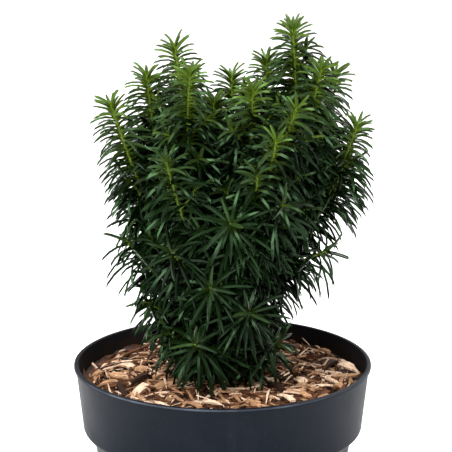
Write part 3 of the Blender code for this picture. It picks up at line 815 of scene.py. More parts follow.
def pot_finish(settings):
    """Dark moulded plastic: fine grain, faint streaks, dust, dried soil inside the rim, and a painted
    highlight along the lip.
    """
    finish = Finish("pot_plastic_finish", 0.45)
    dust = finish.noise(38.0, 6.0).between(0.42, 0.78)
    specks = finish.noise(820.0, 1.0).between(0.66, 0.80)
    streaks = finish.noise(1.0, 3.0, finish.stretched((190.0, 190.0, 12.0))).between(0.50, 0.82)
    height = finish.node("ShaderNodeSeparateXYZ", None, {"Vector": finish.place}, output="Z")
    flat = {0: finish.stretched((1.0, 1.0, 0.0))}
    radius = finish.node("ShaderNodeVectorMath", {"operation": "LENGTH"}, flat, output=1)
    # Soil lies on the inner side of the wall's middle, and is thickest just above the mulch.
    slope = (BAND_TOP_RADIUS - BAND_FOOT_RADIUS) / (POT_HEIGHT - BAND_FOOT_HEIGHT)
    middle = BAND_FOOT_RADIUS - BAND_FOOT_HEIGHT * slope - WALL * 0.5
    inside = 1.0 - (radius - height * slope).between(middle - STAIN_EDGE, middle + STAIN_EDGE)
    inside = inside * height.between(MULCH_LEVEL - STAIN_FOOT, MULCH_LEVEL - STAIN_FULL)
    low = 1.0 - height.between(MULCH_LEVEL + 0.001, POT_HEIGHT - 0.001)
    soil = inside * (0.35 + low * finish.noise(150.0, 5.0).between(0.30, 0.66))
    # A painted highlight: the lip's outer edge and top are painted paler, more strongly where the dust's
    # noise is high.
    lip = radius.between(BAND_TOP_RADIUS + LIP_NECK, RIM_RADIUS - 0.0002)
    lip = lip * height.between(POT_HEIGHT - 0.0013, POT_HEIGHT - 0.0009) * (0.3 + dust)
    dusty = finish.mix(dust * 0.05 + streaks * 0.05 + specks * 0.16, settings.plastic, settings.dust)
    outer = finish.mix(lip, dusty, settings.edge)
    finish.set("Base Color", finish.mix(soil, outer, settings.soiling))
    finish.set("Roughness", 0.42 + dust * 0.10 + soil * 0.30 + streaks * 0.05)
    finish.set("Specular IOR Level", 0.05)
    finish.bump(finish.noise(2400.0, 2.0) + finish.noise(380.0, 2.0) * 0.7, settings.grain)
    return finish.material


def build_pot(settings):
    """The pot, turned from its outline and drilled."""
    whole = turned("pot_body", pot_profile(), settings.steps)
    mesh = drilled(whole, DRAIN_HOLES, DRAIN_HOLE_RADIUS, DRAIN_CIRCLE_RADIUS)
    mesh = smoothed(mesh, POT_SHARP_ANGLE)
    add_piece("pot_body", mesh, pot_finish(settings), "pot_plastic", "pot")


def soil_finish():
    """Dark moist peat, which shows only through the drain holes."""
    finish = Finish("peat_finish", 0.92)
    clods = finish.noise(260.0, 5.0)
    wet, dry = (0.018, 0.010, 0.007), (0.055, 0.032, 0.020)
    finish.set("Base Color", finish.mix(clods.between(0.35, 0.65), wet, dry))
    finish.bump(clods, 0.0008)
    return finish.material


def build_soil():
    """The peat keeps the frame's own shape and gets its finish."""
    node = frame["nodes"]["potting_soil"]
    node.data.materials.clear()
    node.data.materials.append(soil_finish())


def crumb_finish(settings):
    """Dark fine crumbs with patches of lighter bark."""
    finish = Finish("crumb_finish", 0.88)
    clods = finish.noise(420.0, 6.0)
    patches = finish.noise(90.0, 3.0).between(0.42, 0.68)
    dark = finish.mix(clods.between(0.35, 0.62), shaded(settings.crumbs, 0.35), settings.crumbs)
    finish.set("Base Color", finish.mix(patches * clods.between(0.50, 0.70), dark, settings.rust))
    finish.bump(clods, 0.0006)
    return finish.material


def build_crumbs(settings):
    """The mulch's crumbly surface, closed underneath by a flat disc."""
    edge = wall_inside(MULCH_LEVEL) - CRUMB_GAP
    hole = TRUNK_FLARE_RADIUS - CRUMB_OVERLAP
    bottom = SOIL_TOP + BOTTOM_GAP
    steps = settings.steps
    vertices = []
    for i in range(settings.rings + 1):
        share = i / settings.rings
        radius = blend(hole, edge, share)
        for k in range(steps):
            angle = 2.0 * math.pi * k / steps
            x = TRUNK_X * (1.0 - share) + radius * math.cos(angle)
            y = TRUNK_Y * (1.0 - share) + radius * math.sin(angle)
            fine = noise.fractal(Vector((x, y, 0.0)) * CRUMBS_PER_METRE, 0.9, 2.1, 4)
            vertices.append((x, y, mulch_height(x, y) - CRUMB_GAP + settings.crumb * 0.5 * fine))
    for radius, shift in ((edge, 0.0), (hole, 1.0)):
        for k in range(steps):
            angle = 2.0 * math.pi * k / steps
            x = TRUNK_X * shift + radius * math.cos(angle)
            vertices.append((x, TRUNK_Y * shift + radius * math.sin(angle), bottom))
    quads = []
    rings = settings.rings + 3
    for i in range(rings):
        below = (i + 1) % rings
        for k in range(steps):
            after = (k + 1) % steps
            quads.append((i * steps + k, below * steps + k, below * steps + after, i * steps + after))
    mesh = mesh_from_arrays("mulch_crumbs", np.array(vertices), np.array(quads), np.empty((0, 3), int))
    mesh.shade_smooth()
    add_piece("mulch_crumbs", mesh, crumb_finish(settings), "bark_mulch", "bark_mulch")


CHIP_END_SLANT = 0.5
CHIP_SIDE_SLANT = 0.2
CHIP_RAGGED_LENGTH = 0.4
CHIP_THINNEST = 0.7
CHIP_UNDERSIDE = 0.9


def chip_mesh(name, seed, widths, bend, roughness, skew):
    """One chip of unit length, width and thickness: a slab that follows widths, with slanting ends."""
    rng = random.Random(seed)
    columns = len(widths)
    rows = []
    for side in (-1.0, 1.0):
        row = []
        for i, width in enumerate(widths):
            x = i / (columns - 1) - 0.5 + rng.uniform(-1.0, 1.0) * roughness * CHIP_RAGGED_LENGTH
            slant = CHIP_END_SLANT if i in (0, columns - 1) else CHIP_SIDE_SLANT
            y = side * 0.5 * width + rng.uniform(-1.0, 1.0) * roughness
            row.append((x + side * skew * slant, y, bend * (1.0 - (2.0 * x) ** 2)))
        rows.append(row)
    cage = bmesh.new()
    corner = cage.verts.new
    top = [
        [corner((x, y, z + 0.5 * rng.uniform(CHIP_THINNEST, 1.0))) for x, y, z in row] for row in rows
    ]
    low = [[corner((x, y * CHIP_UNDERSIDE, z - 0.5)) for x, y, z in row] for row in rows]
    for i in range(columns - 1):
        for first, second in ((top[0], top[1]), (low[1], low[0]), (low[0], top[0]), (top[1], low[1])):
            cage.faces.new((first[i], first[i + 1], second[i + 1], second[i]))
    cage.faces.new((low[0][0], top[0][0], top[1][0], low[1][0]))
    cage.faces.new((top[0][-1], low[0][-1], low[1][-1], top[1][-1]))
    mapping = cage.loops.layers.uv.new("grain")
    for face in cage.faces:
        for loop in face.loops:
            loop[mapping].uv = (loop.vert.co.x + seed, loop.vert.co.y)
    bmesh.ops.recalc_face_normals(cage, faces=cage.faces)
    return mesh_from_cage(name, cage)


# Outlines of chips: widths along the length, the bend in thicknesses, ragged edges and slanting ends.
CHIP_SHAPES = (
    ((0.30, 0.62, 0.90, 1.00, 0.75), 0.2, 0.05, 0.14),
    ((0.85, 1.00, 0.80, 0.45, 0.06), 0.6, 0.05, -0.10),
    ((0.95, 1.00, 0.88, 0.95, 0.90), 0.1, 0.06, 0.20),
    ((0.10, 0.40, 0.75, 1.00, 0.90), 1.0, 0.04, 0.12),
    ((0.80, 0.92, 1.05, 1.00, 0.72), -0.2, 0.09, -0.24),
)


def chip_finish(name, colour, spread):
    """Wood or bark with a grain along each chip, which its own map carries."""
    finish = Finish(name, 0.80)
    mapped = finish.node("ShaderNodeTexCoord", output="UV")
    grain = finish.noise(1.0, 4.0, finish.stretched((3.0, 13.0, 1.0), mapped))
    patch = finish.noise(170.0, 4.0).between(0.42, 0.64)
    dark = shaded(colour, 1.0 - spread)
    streaked = finish.mix(grain.between(0.38, 0.58), dark, shaded(colour, 1.12))
    finish.set("Base Color", finish.mix(patch * 0.7, streaked, dark))
    finish.set("Specular IOR Level", 0.12)
    finish.bump(grain, 0.00045)
    return finish.material


# How much chips of one kind differ in size, turn along the wall, and roll more than they pitch.
SIZE_SPREADS = (("Length", 0.35, 1.7), ("Width", 0.45, 1.7), ("Thickness", 0.5, 1.5))
YAW_SPREAD = 0.35
ROLL_FACTOR = 1.6


def scatter_tree(name, material):
    """Geometry Nodes that lay chips flat on a surface, turned at random or along a nearby wall."""
    tree = bpy.data.node_groups.new(name, "GeometryNodeTree")
    face = tree.interface
    kinds = {"Geometry": "Geometry", "Chips": "Collection", "Density": "Float", "Seed": "Int"}
    kinds.update(dict.fromkeys(("Length", "Width", "Thickness", "Lift", "Tilt"), "Float"))
    for socket, kind in kinds.items():
        face.new_socket(socket, in_out="INPUT", socket_type=f"NodeSocket{kind}")
    face.new_socket("Geometry", in_out="OUTPUT", socket_type="NodeSocketGeometry")
    graph = Graph(tree)
    given = tree.nodes.new("NodeGroupInput")
    entry = {socket.name: Value(graph, socket) for socket in given.outputs if socket.name}
    spread = {"Mesh": entry["Geometry"], "Density": entry["Density"], "Seed": entry["Seed"]}
    points = graph.node("GeometryNodeDistributePointsOnFaces", None, spread)
    place = graph.node("GeometryNodeInputPosition")
    parts = graph.node("ShaderNodeSeparateXYZ", None, {"Vector": place}).socket.node
    x, y = Value(graph, parts.outputs[0]), Value(graph, parts.outputs[1])
    radius = graph.math("SQRT", x * x + y * y)
    free = 1.0 - radius.between(FREE_RADIUS, ALONG_WALL_RADIUS)

    def chance(low, high, shift):
        sockets = {2: low, 3: high, "Seed": entry["Seed"] + shift}
        return graph.node("FunctionNodeRandomValue", {"data_type": "FLOAT"}, sockets, output=1)

    around = graph.math("ARCTAN2", y, x) + math.pi / 2.0
    yaw = around + chance(-math.pi, math.pi, 1) * free + chance(-YAW_SPREAD, YAW_SPREAD, 2)
    pitch = chance(-1.0, 1.0, 3) * entry["Tilt"]
    roll = chance(-1.0, 1.0, 4) * entry["Tilt"] * ROLL_FACTOR
    turn = graph.node("ShaderNodeCombineXYZ", None, {0: roll, 1: pitch, 2: yaw})
    sizes = {}
    for i, (key, least, most) in enumerate(SIZE_SPREADS):
        sizes[i] = entry[key] * chance(least, most, 5 + i)
    size = graph.node("ShaderNodeCombineXYZ", None, sizes)
    lift = graph.node("ShaderNodeCombineXYZ", None, {2: entry["Lift"] * chance(0.0, 1.0, 8)})
    raised = graph.node("GeometryNodeSetPosition", None, {"Geometry": points, "Offset": lift})
    chips = graph.node("GeometryNodeCollectionInfo", None, {0: entry["Chips"], 1: True, 2: True})
    laying = {"Points": raised, "Instance": chips, "Pick Instance": True}
    laying.update({"Rotation": turn, "Scale": size})
    laid = graph.node("GeometryNodeInstanceOnPoints", None, laying)
    real = graph.node("GeometryNodeRealizeInstances", None, {"Geometry": laid})
    painted = graph.node("GeometryNodeSetMaterial", None, {"Geometry": real, "Material": material})
    out = tree.nodes.new("NodeGroupOutput")
    graph.feed(out.inputs["Geometry"], painted)
    return tree


BED_CELLS = 48


def bed_mesh(name, radius, hole):
    """A smooth sheet at the mulch's height for chips to be laid on."""
    cage = bmesh.new()
    bmesh.ops.create_grid(cage, x_segments=BED_CELLS, y_segments=BED_CELLS, size=radius)
    off = []
    for vertex in cage.verts:
        vertex.co.z = mulch_height(vertex.co.x, vertex.co.y)
        away = math.hypot(vertex.co.x, vertex.co.y)
        if away > radius or math.hypot(vertex.co.x - TRUNK_X, vertex.co.y - TRUNK_Y) < hole:
            off.append(vertex)
    bmesh.ops.delete(cage, geom=off, context="VERTS")
    return mesh_from_cage(name, cage)


def scatter_chips(name, material, shapes, count, seed, sizes, lift, tilt):
    """Lays chips of one tone over the mulch, and adds them as one piece."""
    radius = wall_inside(MULCH_LEVEL) - CHIP_WALL_GAP
    bed = placed(name, bed_mesh(name, radius, TRUNK_FOOT_RADIUS + CHIP_TRUNK_GAP))
    chips = bpy.data.collections.new(name + "_shapes")
    for i in shapes:
        shape = chip_mesh(f"chip_{i}", i, *CHIP_SHAPES[i])
        chips.objects.link(bpy.data.objects.new(f"chip_{i}", shape))
    tree = scatter_tree(name, material)
    scatter = bed.modifiers.new("scatter", "NODES")
    scatter.node_group = tree
    items = [item for item in tree.interface.items_tree if item.in_out == "INPUT"]
    inputs = {item.name: item.identifier for item in items}
    density = count / (math.pi * radius * radius)
    given = {"Chips": chips, "Density": density, "Seed": seed, "Lift": lift, "Tilt": tilt}
    given.update(zip(("Length", "Width", "Thickness"), sizes))
    for key, value in given.items():
        scatter[inputs[key]] = value
    mesh = plain_mesh(bed, name)
    for chip in list(chips.objects):
        bpy.data.objects.remove(chip)
    bpy.data.collections.remove(chips)
    add_piece(name, mesh, material, "bark_mulch", "bark_mulch")


# The larger chips in sight: tone, x and y of the middle in tenths of a millimetre, turn in degrees,
# and length and width in tenths of a millimetre.
LAID_CHIPS = (
    ("tan", -816, 2, 37, 100, 75),
    ("cream", -818, 136, -71, 218, 13),
    ("rust", -644, 421, 49, 481, 47),
    ("cream", -633, 145, -33, 112, 58),
    ("cream", -707, 64, -74, 233, 15),
    ("cream", -745, 3, -79, 144, 11),
    ("cream", -560, -37, -68, 152, 20),
    ("tan", -592, -47, -70, 171, 17),
    ("dark", -520, -167, 54, 194, 66),
    ("dark", -625, -350, -72, 221, 38),
    ("cream", -524, -360, 70, 244, 75),
    ("tan", -331, -196, 52, 275, 75),
    ("tan", -292, -446, -67, 184, 27),
    ("tan", -727, -196, 38, 161, 50),
    ("rust", -860, -57, -67, 238, 23),
    ("cream", -166, -540, -28, 119, 50),
    ("cream", -52, -604, -31, 143, 32),
    ("cream", -102, -493, 67, 122, 21),
    ("tan", -41, -358, -75, 395, 15),
    ("cream", -406, 570, 52, 84, 45),
    ("cream", -460, 104, -75, 148, 12),
    ("tan", -393, -58, 42, 150, 48),
    ("rust", -168, -361, 49, 102, 75),
    ("tan", -189, -623, -35, 128, 31),
    ("cream", -383, 355, -46, 88, 24),
    ("tan", -676, -28, -24, 100, 75),
    ("tan", -505, 94, 50, 106, 73),
    ("rust", -501, 260, 67, 183, 54),
    ("cream", -529, 218, 86, 167, 13),
    ("tan", 328, 85, -67, 332, 23),
    ("cream", 202, 2, 11, 105, 75),
    ("cream", 822, 84, -60, 212, 75),
    ("cream", 781, 270, 27, 46, 75),
    ("dark", 696, 126, 69, 243, 54),
    ("cream", 700, 23, -7, 174, 40),
    ("tan", 777, -48, 12, 186, 35),
    ("cream", 692, -137, -61, 249, 43),
    ("cream", 294, -176, -54, 169, 31),
    ("cream", 481, -167, -45, 112, 55),
    ("cream", 570, -245, -10, 216, 39),
    ("tan", 101, -274, 36, 164, 24),
    ("cream", 220, -284, -36, 131, 29),
    ("tan", 252, -455, 59, 175, 28),
    ("tan", 127, -567, 65, 205, 19),
    ("cream", 38, -389, 10, 108, 37),
    ("cream", 16, -493, -76, 154, 22),
    ("tan", 426, -322, 43, 168, 29),
    ("tan", 510, -418, -55, 93, 38),
    ("cream", 390, -484, -46, 130, 42),
    ("tan", 460, -351, 29, 117, 33),
    ("cream", 604, 187, -42, 93, 27),
    ("tan", 695, 249, 56, 126, 24),
    ("rust", 380, -58, 17, 202, 30),
    ("tan", 727, -255, -21, 53, 56),
    ("rust", 420, 23, -69, 196, 50),
    ("tan", 179, -558, -35, 97, 63),
    ("tan", 74, -474, -64, 209, 30),
    ("rust", 177, -408, -35, 166, 64),
    ("dark", 329, -332, -48, 128, 42),
    ("rust", 542, -147, -47, 108, 59),
)
TENTHS = 10000.0
LAID_GAP = 0.0012
LAID_LIFT = 0.0016
LAID_TILT = 5.0
LAID_SEED = 31
# Narrow chips are thin, and bark is thick.
NARROW_CHIP = 0.003
NARROW_THICKNESS = 0.6
BARK_THICKNESS = 1.8
WOOD_THICKNESS = 1.1
# How steeply a chip that meets the wall is pushed up it.
WALL_CLIMB = 0.8


def build_laid_chips(settings):
    """The larger chips, one piece for each tone, each chip kept inside the pot's wall."""
    rng = random.Random(LAID_SEED)
    farthest = wall_inside(MULCH_LEVEL) - LAID_GAP
    cages = {}
    for i, (tone, middle_x, middle_y, turn, long, wide) in enumerate(LAID_CHIPS):
        x, y, length, width = (tenths / TENTHS for tenths in (middle_x, middle_y, long, wide))
        chip = chip_mesh("laid_chip", i, *CHIP_SHAPES[i % len(CHIP_SHAPES)])
        thick = BARK_THICKNESS if tone == "dark" else WOOD_THICKNESS
        thickness = settings.chip_thickness * (NARROW_THICKNESS if width < NARROW_CHIP else thick)
        tilt = Matrix.Rotation(math.radians(rng.uniform(-LAID_TILT, LAID_TILT)), 4, "Y")
        roll = Matrix.Rotation(math.radians(rng.uniform(-3.0, 3.0) * LAID_TILT), 4, "X")
        place = Matrix.Translation((x, y, mulch_height(x, y) + LAID_LIFT + thickness * 0.5))
        size = Matrix.Diagonal((length, width, thickness, 1.0))
        chip.transform(place @ Matrix.Rotation(math.radians(turn), 4, "Z") @ tilt @ roll @ size)
        for vertex in chip.vertices:
            away = math.hypot(vertex.co.x, vertex.co.y)
            if away > farthest:
                vertex.co.x *= farthest / away
                vertex.co.y *= farthest / away
                vertex.co.z += (away - farthest) * WALL_CLIMB
        cages.setdefault(tone, bmesh.new()).from_mesh(chip)
    for tone, cage in cages.items():
        finish = chip_finish(f"laid_{tone}_finish", getattr(settings, tone), 0.42)
        name = f"laid_{tone}"
        add_piece(name, mesh_from_cage(name, cage), finish, "bark_mulch", "bark_mulch")


def build_chips(settings):
    """The small chips and crumbs, one piece for each tone and kind, from the lowest to the topmost."""

    def sized(kind, *factors):
        sizes = (getattr(settings, f"{kind}_{side}") for side in ("length", "width", "thickness"))
        return tuple(size * factor for size, factor in zip(sizes, factors))

    sliver, shred = sized("sliver", 1.0, 1.0, 1.0), sized("sliver", 0.75, 1.15, 1.1)
    chip, small_chip = sized("chip", 1.0, 1.0, 1.0), sized("chip", 0.72, 0.72, 0.72)
    crumb, bark = sized("chip", 0.34, 0.42, 0.9), sized("chip", 0.95, 0.95, 1.7)
    # Name, colour, shapes, how many, seed, size, highest lift and most tilt.
    rows = (
        ("crumbs_dark", settings.dark, (2, 4), 1000, 11, crumb, 0.0008, 0.45),
        ("crumbs_rust", settings.rust, (2, 4), 900, 12, crumb, 0.0012, 0.45),
        ("shreds_rust", settings.rust, (0, 1, 2, 3), 800, 13, shred, 0.0016, 0.30),
        ("bark_chunks", settings.dark, (2, 4), 75, 14, bark, 0.0012, 0.22),
        ("chips_rust", settings.rust, (0, 2, 4), 110, 15, chip, 0.0014, 0.22),
        ("slivers_tan", settings.tan, (0, 1, 2, 3), 380, 16, sliver, 0.0030, 0.30),
        ("chips_tan", settings.tan, (1, 2, 4), 55, 17, chip, 0.0020, 0.20),
        ("slivers_cream", settings.cream, (0, 1, 3), 300, 18, sliver, 0.0040, 0.30),
        ("chips_cream", settings.cream, (0, 2, 4), 30, 19, small_chip, 0.0026, 0.18),
        ("shreds_top", settings.rust, (0, 1, 3), 200, 20, shred, 0.0036, 0.36),
    )
    for name, colour, shapes, count, seed, sizes, lift, tilt in rows:
        material = chip_finish(name + "_finish", colour, 0.35 if "cream" in name else 0.55)
        scatter_chips(name, material, shapes, count, seed, sizes, lift, tilt)


def bark_finish(settings):
    """Thin flaking bark: warm plates over darker crevices."""
    finish = Finish("bark_finish", 0.84)
    plates = finish.noise(1.0, 5.0, finish.stretched((620.0, 620.0, 150.0)))
    patch = finish.noise(140.0, 3.0).between(0.40, 0.64)
    plain = finish.mix(plates.between(0.38, 0.60), settings.crevice, settings.bark)
    finish.set("Base Color", finish.mix(patch * 0.45, plain, shaded(settings.bark, 1.7)))
    finish.bump(plates, 0.0005)
    return finish.material


BARK_DEPTH = 0.16
TRUNK_RINGS = 130
TRUNK_SIDES = 36
BOUGH_RINGS = 34
BOUGH_SIDES = 18
# The trunk's bark is laid a little inside the frame's trunk, so that its plates don't stand proud.
TRUNK_SLIMMER = 0.98


def bark_relief(seed):
    """Flat plates that run along the limb, with cracks between them."""

    def relief(ring, angle):
        place = Vector((math.cos(angle) * 2.4, math.sin(angle) * 2.4, ring * 0.22 + seed))
        crack = abs(noise.noise(place)) * 2.2
        fine = 0.5 * noise.noise(place * 2.7)
        return 1.0 + BARK_DEPTH * (min(1.0, crack) - 0.5) + BARK_DEPTH * fine

    return relief


def build_limbs(settings):
    """The trunk and the bare boughs, with the relief of their bark."""
    material = bark_finish(settings)
    trunk = Heap()
    shares = [i / TRUNK_RINGS for i in range(TRUNK_RINGS + 1)]
    heights = [blend(SOIL_TOP + BOTTOM_GAP, TRUNK_TIP, share) for share in shares]
    points = [trunk_point(height) for height in heights]
    radii = [trunk_radius(height) * TRUNK_SLIMMER for height in heights]
    add_tube(trunk, points, radii, TRUNK_SIDES, bark_relief(3.0))
    add_piece("trunk_bark", trunk.mesh("trunk_bark", 60.0), material, "yew_bark", "trunk")
    boughs = Heap()
    for i, shoot in enumerate(shoot for shoot in all_shoots() if shoot.leader):
        shares = [shoot.bare * k / BOUGH_RINGS for k in range(BOUGH_RINGS + 1)]
        points = [shoot.at(share) for share in shares]
        radii = [BOUGH_RADIUS * blend(1.0, BOUGH_TAPER, share / shoot.bare) for share in shares]
        add_tube(boughs, points, radii, BOUGH_SIDES, bark_relief(7.0 + 5.0 * i))
    add_piece("boughs_bark", boughs.mesh("boughs_bark", 60.0), material, "yew_bark", *BOUGH_NODES)


def stem_finish(name, colour, spread):
    """Smooth young stem with faint ridges below each needle."""
    finish = Finish(name, 0.50)
    finish.set("Specular IOR Level", 0.30)
    streak = finish.noise(1.0, 3.0, finish.stretched((900.0, 900.0, 260.0))).between(0.34, 0.66)
    dark, light = shaded(colour, 1.0 - spread), shaded(colour, 1.0 + spread * 0.5)
    finish.set("Base Color", finish.mix(streak, dark, light))
    finish.bump(streak, 0.0002)
    return finish.material


def needle_ridges(ring, angle):
    """Ridges that run down the stem from the needles' feet."""
    return 1.0 + 0.13 * math.cos(3.0 * angle + ring * 1.1)


STEM_SIDES = 8
STEM_RING_PITCH = 0.0014
LEAST_STEM_SHARE = 0.02
SIDE_STEM_START = 0.03
STEM_FOOT_FACTOR = 1.15
TWIG_TIP_FACTOR = 0.75
TWIG_TONE_FACTOR = 0.35


def add_stem(heaps, path, start, foot_radius, tip_radius, settings, span_scale):
    """One stem in three tones: bright at its tip, green below that, and brown at its foot."""
    lime = 1.0 - min(1.0, settings.lime_span * span_scale / path.length)
    green = lime - settings.green_span * span_scale / path.length
    green, lime = max(start, green), max(start, lime)
    for tone, low, high in (("brown", start, green), ("green", green, lime), ("lime", lime, 1.0)):
        if high - low < LEAST_STEM_SHARE:
            continue
        rings = max(3, round((high - low) * path.length / STEM_RING_PITCH))
        shares = [blend(low, high, i / rings) for i in range(rings + 1)]
        radii = [blend(foot_radius, tip_radius, share) for share in shares]
        add_tube(heaps[tone], [path.at(share) for share in shares], radii, STEM_SIDES, needle_ridges)


def build_twigs(settings):
    """The leafy shoots' own stems and their side twigs, from brown through green to bright tips."""
    heaps = {tone: Heap() for tone in ("lime", "green", "brown")}
    foot, tip = settings.stem_radius * STEM_FOOT_FACTOR, settings.stem_tip_radius
    for shoot in all_shoots():
        start = shoot.bare if shoot.leader else SIDE_STEM_START
        add_stem(heaps, shoot, start, foot, tip, settings, 1.0)
        for twig in side_twigs(shoot, settings):
            twig_tip = tip * TWIG_TIP_FACTOR
            add_stem(heaps, twig, 0.0, settings.twig_radius, twig_tip, settings, TWIG_TONE_FACTOR)
    for tone, heap in heaps.items():
        slot = "yew_bark" if tone == "brown" else "yew_needles"
        finish = stem_finish(f"stem_{tone}_finish", getattr(settings, tone), 0.30)
        add_piece(f"twigs_{tone}", heap.mesh(f"twigs_{tone}", 70.0), finish, slot, *FOLIAGE_NODES)


class Needles:
    """Rows of needles that are shaped together: each one's foot, directions, size, bends and shade."""

    def __init__(self):
        self.rows = {tone: [] for tone in ("young", "fresh", "grown", "deep")}

    def add(self, tone, root, axis, outward, *shape):
        self.rows[tone].append((*root, *axis, *outward, *shape))


NEEDLE_SPINE = (0.0, 0.10, 0.34, 0.62, 0.86, 1.0)
NEEDLE_WIDTHS = (0.42, 0.84, 1.0, 0.90, 0.58)
NEEDLE_PALENESS = (1.0, 0.70, 0.10)
NEEDLE_EDGES = 3
NEEDLE_FOOT_THICKNESS = 1.3
NEEDLE_OPENING_POWER = 0.8
NEEDLE_DROOP_POWER = 1.3
NEEDLE_CORNERS = NEEDLE_EDGES * len(NEEDLE_WIDTHS) + 1
NEEDLE_TRIANGLES = NEEDLE_EDGES * 2 * (len(NEEDLE_WIDTHS) - 1) + 1 + NEEDLE_EDGES


def unit(rows):
    return rows / np.maximum(np.linalg.norm(rows, axis=-1, keepdims=True), 1e-9)


def needle_arrays(rows, thickness):
    """Vertices, quads, triangles and colours of closed needles, flat below and ridged above."""
    data = np.array(rows)
    root, axis, outward = data[:, 0:3], data[:, 3:6], data[:, 6:9]
    length, width, leave, arrive, droop, twist, shade, foot = (data[:, i : i + 1] for i in range(9, 17))
    count = len(data)
    sideways = unit(np.cross(outward, axis))
    down = np.array((0.0, 0.0, -1.0))
    point = root.copy()
    rings = []
    for i, share in enumerate(NEEDLE_SPINE):
        angle = leave + (arrive - leave) * share**NEEDLE_OPENING_POWER
        sag = down * droop * share**NEEDLE_DROOP_POWER
        heading = unit(axis * np.cos(angle) + outward * np.sin(angle) + sag)
        if i:
            point = point + heading * length * (share - NEEDLE_SPINE[i - 1])
        if i == len(NEEDLE_WIDTHS):
            break
        side = unit(sideways - heading * np.sum(sideways * heading, axis=1, keepdims=True))
        face = np.cross(side, heading)
        across = side * np.cos(twist) + face * np.sin(twist)
        upward = face * np.cos(twist) - side * np.sin(twist)
        half = width * NEEDLE_WIDTHS[i] * 0.5
        high = thickness * (1.0 if i else NEEDLE_FOOT_THICKNESS)
        rings.append(np.stack([point - across * half, point + upward * high, point + across * half], 1))
    vertices = np.concatenate([np.stack(rings, 1).reshape(count, -1, 3), point[:, None, :]], 1)
    around = [(k, (k + 1) % NEEDLE_EDGES) for k in range(NEEDLE_EDGES)]
    last = (len(rings) - 1) * NEEDLE_EDGES
    quads = []
    for ring in range(0, last, NEEDLE_EDGES):
        above = ring + NEEDLE_EDGES
        for first, second in around:
            quads.append((ring + first, ring + second, above + second, above + first))
    triangles = [(last + first, last + second, NEEDLE_CORNERS - 1) for first, second in around]
    triangles.append((2, 1, 0))
    shift = (np.arange(count) * NEEDLE_CORNERS)[:, None, None]
    feet = np.zeros((count, NEEDLE_CORNERS))
    for ring, paleness in enumerate(NEEDLE_PALENESS):
        feet[:, ring * NEEDLE_EDGES : (ring + 1) * NEEDLE_EDGES] = foot * paleness
    return (
        vertices.reshape(-1, 3),
        (np.array(quads)[None] + shift).reshape(-1, 4),
        (np.array(triangles)[None] + shift).reshape(-1, 3),
        {"shade": np.repeat(shade.ravel(), NEEDLE_CORNERS), "foot": feet.ravel()},
    )


NEEDLE_POT_GAP = 0.0008
NEEDLE_MULCH_GAP = 0.0022


def rest_on_pot(vertices):
    """Keeps needles above the mulch inside the pot, and says which vertices cross the pot's wall."""
    radius = np.hypot(vertices[:, 0], vertices[:, 1])
    inner = BAND_TOP_RADIUS - WALL - NEEDLE_POT_GAP
    low = vertices[:, 2] < POT_HEIGHT + NEEDLE_POT_GAP
    for i in np.nonzero(low & (radius < inner))[0]:
        floor = mulch_height(vertices[i, 0], vertices[i, 1]) + NEEDLE_MULCH_GAP
        vertices[i, 2] = max(vertices[i, 2], floor)
    return low & (radius >= inner)


class Habit(NamedTuple):
    """How needles change from a stem's tip downwards. Lengths are in metres."""

    tip_length: float  # of a needle at the tip
    length: float  # of a needle lower down
    growing: float  # how far from the tip needles reach their length
    opening: float  # how far from the tip they reach their spread
    tip_pitch: float  # between needles at the tip
    pitch: float  # between needles lower down
    droop: float  # how strongly opened needles sag
    fresh: float  # how far from the tip needles are a fresh green
    pale: float  # how far from the tip their feet are pale
    parted: bool  # whether they part at the front, so that the stem shows


LEADER_HABIT = Habit(0.0114, 0.0266, 0.040, 0.013, 0.00030, 0.00038, 0.46, 0.034, 0.095, True)
UPRIGHT_HABIT = Habit(0.0112, 0.0270, 0.030, 0.010, 0.00040, 0.00070, 0.50, 0.012, 0.060, True)
SIDE_HABIT = Habit(0.0160, 0.0292, 0.011, 0.006, 0.00060, 0.00100, 0.42, 0.005, 0.014, False)
TWIG_HABIT = Habit(0.0120, 0.0255, 0.014, 0.008, 0.00076, 0.00118, 0.44, 0.004, 0.008, False)
# Fresh and young needles: how much of the fresh length is young, the heights between which that
# length grows to its full, its share low down, and the lowest young needle.
YOUNG_SHARE = 0.20
LOW_FRESH = 0.250
HIGH_FRESH = 0.320
LOW_FRESHNESS = 0.16
LOWEST_YOUNG = 0.300
# Needles nearer to the trunk's axis than this take the darkest green as painted shade inside the crown;
# those of shoots with a low mood take it as their own darker tone.
INNER_DEPTH = 0.030
DEEP_MOOD = 0.35
# The angle by which a needle that points to the front turns aside, in radians.
PARTING = 0.46
# Angles in degrees between a needle and its stem where it leaves and at its tip: at the stem's tip,
# where it has opened, where it is grown, and how much they vary.
LEAVING_CLOSED = 14.0
LEAVING_OPEN = 54.0
LEAVING_SPREAD = 9.0
ARRIVING_CLOSED = 50.0
ARRIVING_OPEN = 118.0
ARRIVING_GROWN = 100.0
ARRIVING_SPREAD = 15.0
GROWING_POWER = 0.75
OPENING_POWER = 0.7
FULL_LENGTH = 0.022
NARROWEST = 0.74
MOST_TWIST = 0.55
ROOT_SHARE = 0.6
TIP_PITCH_SPAN = 0.010


def parted(outward, axis):
    """The direction turned away from the plant's front, so that the stem shows."""
    front = (FRONT - axis * FRONT.dot(axis)).normalized()
    side = axis.cross(front)
    angle = math.atan2(outward.dot(side), outward.dot(front))
    angle += math.copysign(PARTING * (1.0 - abs(angle) / math.pi), angle)
    return front * math.cos(angle) + side * math.sin(angle)


